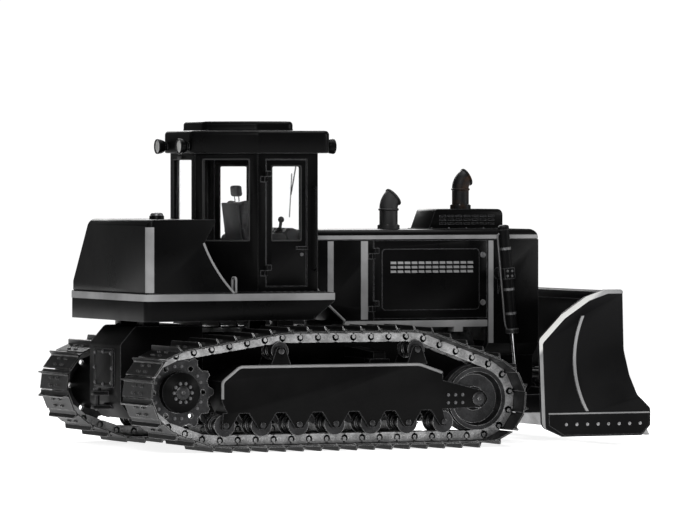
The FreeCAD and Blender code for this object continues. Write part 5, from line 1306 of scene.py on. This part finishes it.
WIRE_X, WIRE_HALF, WIRE_FOOT, WIRE_STEP, WIRES = 1.966, 0.412, 1.105, 0.045, 20
wires = []
for i in range(WIRES):
    height = WIRE_FOOT + WIRE_STEP * i
    wires.append(rod("wire", (WIRE_X, -WIRE_HALF, height), (WIRE_X, WIRE_HALF, height), 0.0035, 6, 0.0))
dress(join("grille_wires", wires), "root", "grille_bars", "bolt_zinc")

# %% [markdown]
# With its doors open the engine shows. The CAD block is dressed with what such an engine carries on
# its top and sides: three head covers, a manifold with six ports, fuel filters and injection pipes.

# %% Engine details
ENGINE_OUT = 0.415
MANIFOLD_Z = 1.560
FILTER = ((0.0, 0.0), (0.030, 0.0), (0.048, 0.012), (0.050, 0.020), (0.050, 0.170), (0.046, 0.178),
          (0.034, 0.182), (0.034, 0.205), (0.0, 0.205))
covers = [block("cover", (0.40 + 0.28 * i, -0.130, 1.775), (0.64 + 0.28 * i, 0.130, 1.880), 0.022, 3)
          for i in range(3)]
dress(join("engine_head_covers", covers), "root", "engine_metal")
for side, word in SIDES:
    out = side * ENGINE_OUT
    manifold = [pipe("manifold", [(0.400, out, MANIFOLD_Z), (1.200, out, MANIFOLD_Z)], 0.036)]
    for i in range(6):
        x = 0.450 + 0.140 * i
        manifold.append(pipe("port", [(x, side * 0.345, 1.500), (x, out, 1.545)], 0.026))
    dress(join("engine_manifold_" + word, manifold), "root", "engine_metal", "stack_steel", 50.0)
    caps("engine_filters_" + word, FILTER, [((x, out, 1.290), UP) for x in (0.520, 0.650)], "root",
         "engine_metal", "cab_trim", 24)
    lines = []
    for i in range(6):
        x, bow = 0.800 + 0.055 * i, side * (0.400 + 0.006 * i)
        lines.append(pipe("line", [(x, side * 0.358, 1.330), (x, bow, 1.330), (x + 0.02 * i, bow, 1.470),
                                   (x + 0.02 * i, side * 0.352, 1.480)], 0.0055, 0.018, sides=2))
    dress(join("engine_fuel_lines_" + word, lines), "root", "engine_metal", "bolt_zinc", 60.0)

# %% [markdown]
# Round the cab come the things a driver uses: grab rails beside the doors, wipers on the front and
# rear panes, a lock in each door, treads on the deck, and the tank's cap.

# %% Rails, locks and treads
RAIL_X, RAIL_FOOT, RAIL_OUT, RAIL_LOW, RAIL_HIGH = -0.600, 0.696, 0.762, 1.800, 2.640
DOOR_LOCK = (-0.735, 0.699, 1.960)
LOCK = ((0.0, 0.010), (0.010, 0.010), (0.013, 0.014), (0.018, 0.012), (0.020, 0.0), (0.0, 0.0))
TREAD_REAR, TREAD_FRONT, TREAD_MIDDLE, TREAD_HALF = -1.260, -0.560, 0.875, 0.135
TREAD_FOOT, TREAD_TOP = 1.578, 1.585
for side, word in SIDES:
    foot, out, middle_y = side * RAIL_FOOT, side * RAIL_OUT, side * TREAD_MIDDLE
    route = [(RAIL_X, foot, RAIL_LOW), (RAIL_X, out, RAIL_LOW), (RAIL_X, out, RAIL_HIGH),
             (RAIL_X, foot, RAIL_HIGH)]
    dress(pipe("grab_rail_" + word, route, 0.013, 0.035), "root", "body_paint", None, 60.0)
    x, y, z = DOOR_LOCK
    caps("cab_door_lock_" + word, LOCK, [((x, side * y, z), (0.0, side, 0.0))], "cab_door_" + word,
         "body_paint", "bolt_zinc", 20)
    tread = [block("tread", (TREAD_REAR, middle_y - TREAD_HALF, TREAD_FOOT),
                   (TREAD_FRONT, middle_y + TREAD_HALF, TREAD_TOP), 0.002)]
    for i in range(9):
        for j in range(4):
            x, y = -1.210 + 0.075 * i + 0.0375 * (j % 2), middle_y - 0.099 + 0.066 * j
            tread.append(rod("stud", (x, y, TREAD_TOP - 0.001), (x, y, TREAD_TOP + 0.006), 0.016, 6,
                             0.0, 0.010))
    dress(join("deck_tread_" + word, tread), "root", "body_paint", "grille_bars")

# %% [markdown]
# A wiper is a bent arm with a rubber strip and a small motor above the pane. The tank's cap, the
# drawbar's pin and the bolts of the rear cover and the cutting edge finish the outside.

# %% Wipers, cap, pin and plow bolts
WIPERS = (("rear", -1.7335, 0.060, -1.0), ("front", -0.5715, -0.180, 1.0))
for name, x, y, way in WIPERS:
    outside, motor_face = x + way * 0.022, x + way * 0.036
    arm = pipe("wiper_arm", [(outside, y, 2.935), (outside, y + 0.03, 2.905), (x, y + 0.13, 2.560)],
               0.0065, 0.015)
    strip = bar("wiper_strip", [(x, y + 0.160, 2.330), (x, y + 0.100, 2.780)], (-way * 0.007, 0.0, 0.0),
                0.012)
    motor = block("wiper_motor", (min(x, motor_face), y - 0.045, 2.922),
                  (max(x, motor_face), y + 0.045, 2.965), 0.008)
    dress(join("wiper_" + name, [arm, strip, motor]), "root", "cab_trim", None, 50.0)

TANK_CAP = ((0.0, 0.024), (0.020, 0.024), (0.026, 0.030), (0.046, 0.028), (0.060, 0.020), (0.066, 0.004),
            (0.066, 0.0), (0.0, 0.0))
DRAWBAR_PIN = ((0.0, 0.0), (0.018, 0.0), (0.0235, 0.008), (0.0235, 0.198), (0.038, 0.200), (0.040, 0.206),
               (0.040, 0.222), (0.036, 0.228), (0.0, 0.228))
EDGE_BOLT = ((0.0, 0.003), (0.014, 0.003), (0.018, 0.001), (0.019, -0.004), (0.0, -0.004))
EDGE_FACE = (0.871, 0.0, 0.490)
COVER_FACE = -2.621
COVER_BOLTS = ((-0.215, 0.665), (-0.215, 0.965), (0.215, 0.665), (0.215, 0.965), (0.0, 0.650), (0.0, 0.980),
               (-0.235, 0.815), (0.235, 0.815))
caps("tank_cap", TANK_CAP, [((-2.295, -0.640, 2.358), UP)], "root", "body_paint", "bolt_zinc", 32)
caps("drawbar_pin", DRAWBAR_PIN, [((-2.685, 0.0, 0.384), UP)], "root", "body_paint", "wheel_steel", 28)
bolts("rear_cover_bolts", 0.015, [((COVER_FACE, y, z), (-1.0, 0.0, 0.0)) for y, z in COVER_BOLTS], "root",
      "body_paint")
edge_places = [((2.6895, -1.50 + 0.1364 * i, 0.244), EDGE_FACE) for i in range(23)]
caps("edge_plow_bolts", EDGE_BOLT, edge_places, "blade", "worn_edge", "bolt_zinc", 12)

# %% [markdown]
# Inside the cab are the rubber boots of the levers, arm pads, pedals, the dials in the dashboard's
# slanted top, and the seat's shell with the two posts of its headrest.

# %% Inside the cab
CONSOLE = 0.365
PAD_HALF = 0.052
PEDAL = 0.120
BOOT = ((0.0, 0.066), (0.018, 0.066), (0.020, 0.060), (0.030, 0.054), (0.024, 0.046), (0.038, 0.038),
        (0.031, 0.030), (0.047, 0.020), (0.040, 0.010), (0.056, 0.0), (0.056, -0.010), (0.0, -0.010))
LEVER_WAY = (0.148, 0.0, 0.989)
for side, word in SIDES:
    console, pedal_y = side * CONSOLE, side * PEDAL
    caps("lever_boot_" + word, BOOT, [((-0.8385, console, 2.166), LEVER_WAY)], "root", "cab_trim",
         "seal_rubber", 28)
    pad = block("arm_pad_" + word, (-1.120, console - PAD_HALF, 2.168),
                (-0.925, console + PAD_HALF, 2.206), 0.014, 4)
    modify(pad, "SUBSURF", levels=1, render_levels=1)
    dress(pad, "root", "cab_trim", "seat_vinyl", 60.0)
    pedal = [block("pedal", (-0.735, pedal_y - 0.045, 1.700), (-0.715, pedal_y + 0.045, 1.790), 0.006),
             pipe("pedal_arm", [(-0.718, pedal_y, 1.745), (-0.690, pedal_y, 1.760), (-0.650, pedal_y, 1.900)],
                  0.009, 0.01)]
    dress(join("pedal_" + word, pedal), "root", "cab_trim", "seal_rubber", 50.0)

DIAL = ((0.0, 0.002), (0.0215, 0.002), (0.0220, 0.007), (0.0245, 0.008), (0.0270, 0.005), (0.0275, -0.010),
        (0.0, -0.010))
DIAL_WAY = (-0.759, 0.0, 0.651)
dials = [((-0.7145, y, 2.1955), DIAL_WAY) for y in (-0.210, -0.105, 0.0, 0.105, 0.210)]
caps("dash_dials", DIAL, dials, "root", "cab_trim", "lamp_glass", 24)

shell = block("seat_shell", (-1.180, -0.205, 1.975), (-1.158, 0.205, 2.500), 0.010, 3)
lean_back(shell, (-1.040, 0.0, 2.000), BACK_LEAN)
dress(shell, "root", "cab_trim")
posts = [rod("post", (-1.148, y, 2.490), (-1.158, y, 2.575), 0.007, 12, 0.0) for y in (-0.055, 0.055)]
dress(join("headrest_posts", posts), "root", "cab_trim", "rod_chrome")
print("cab pieces done")
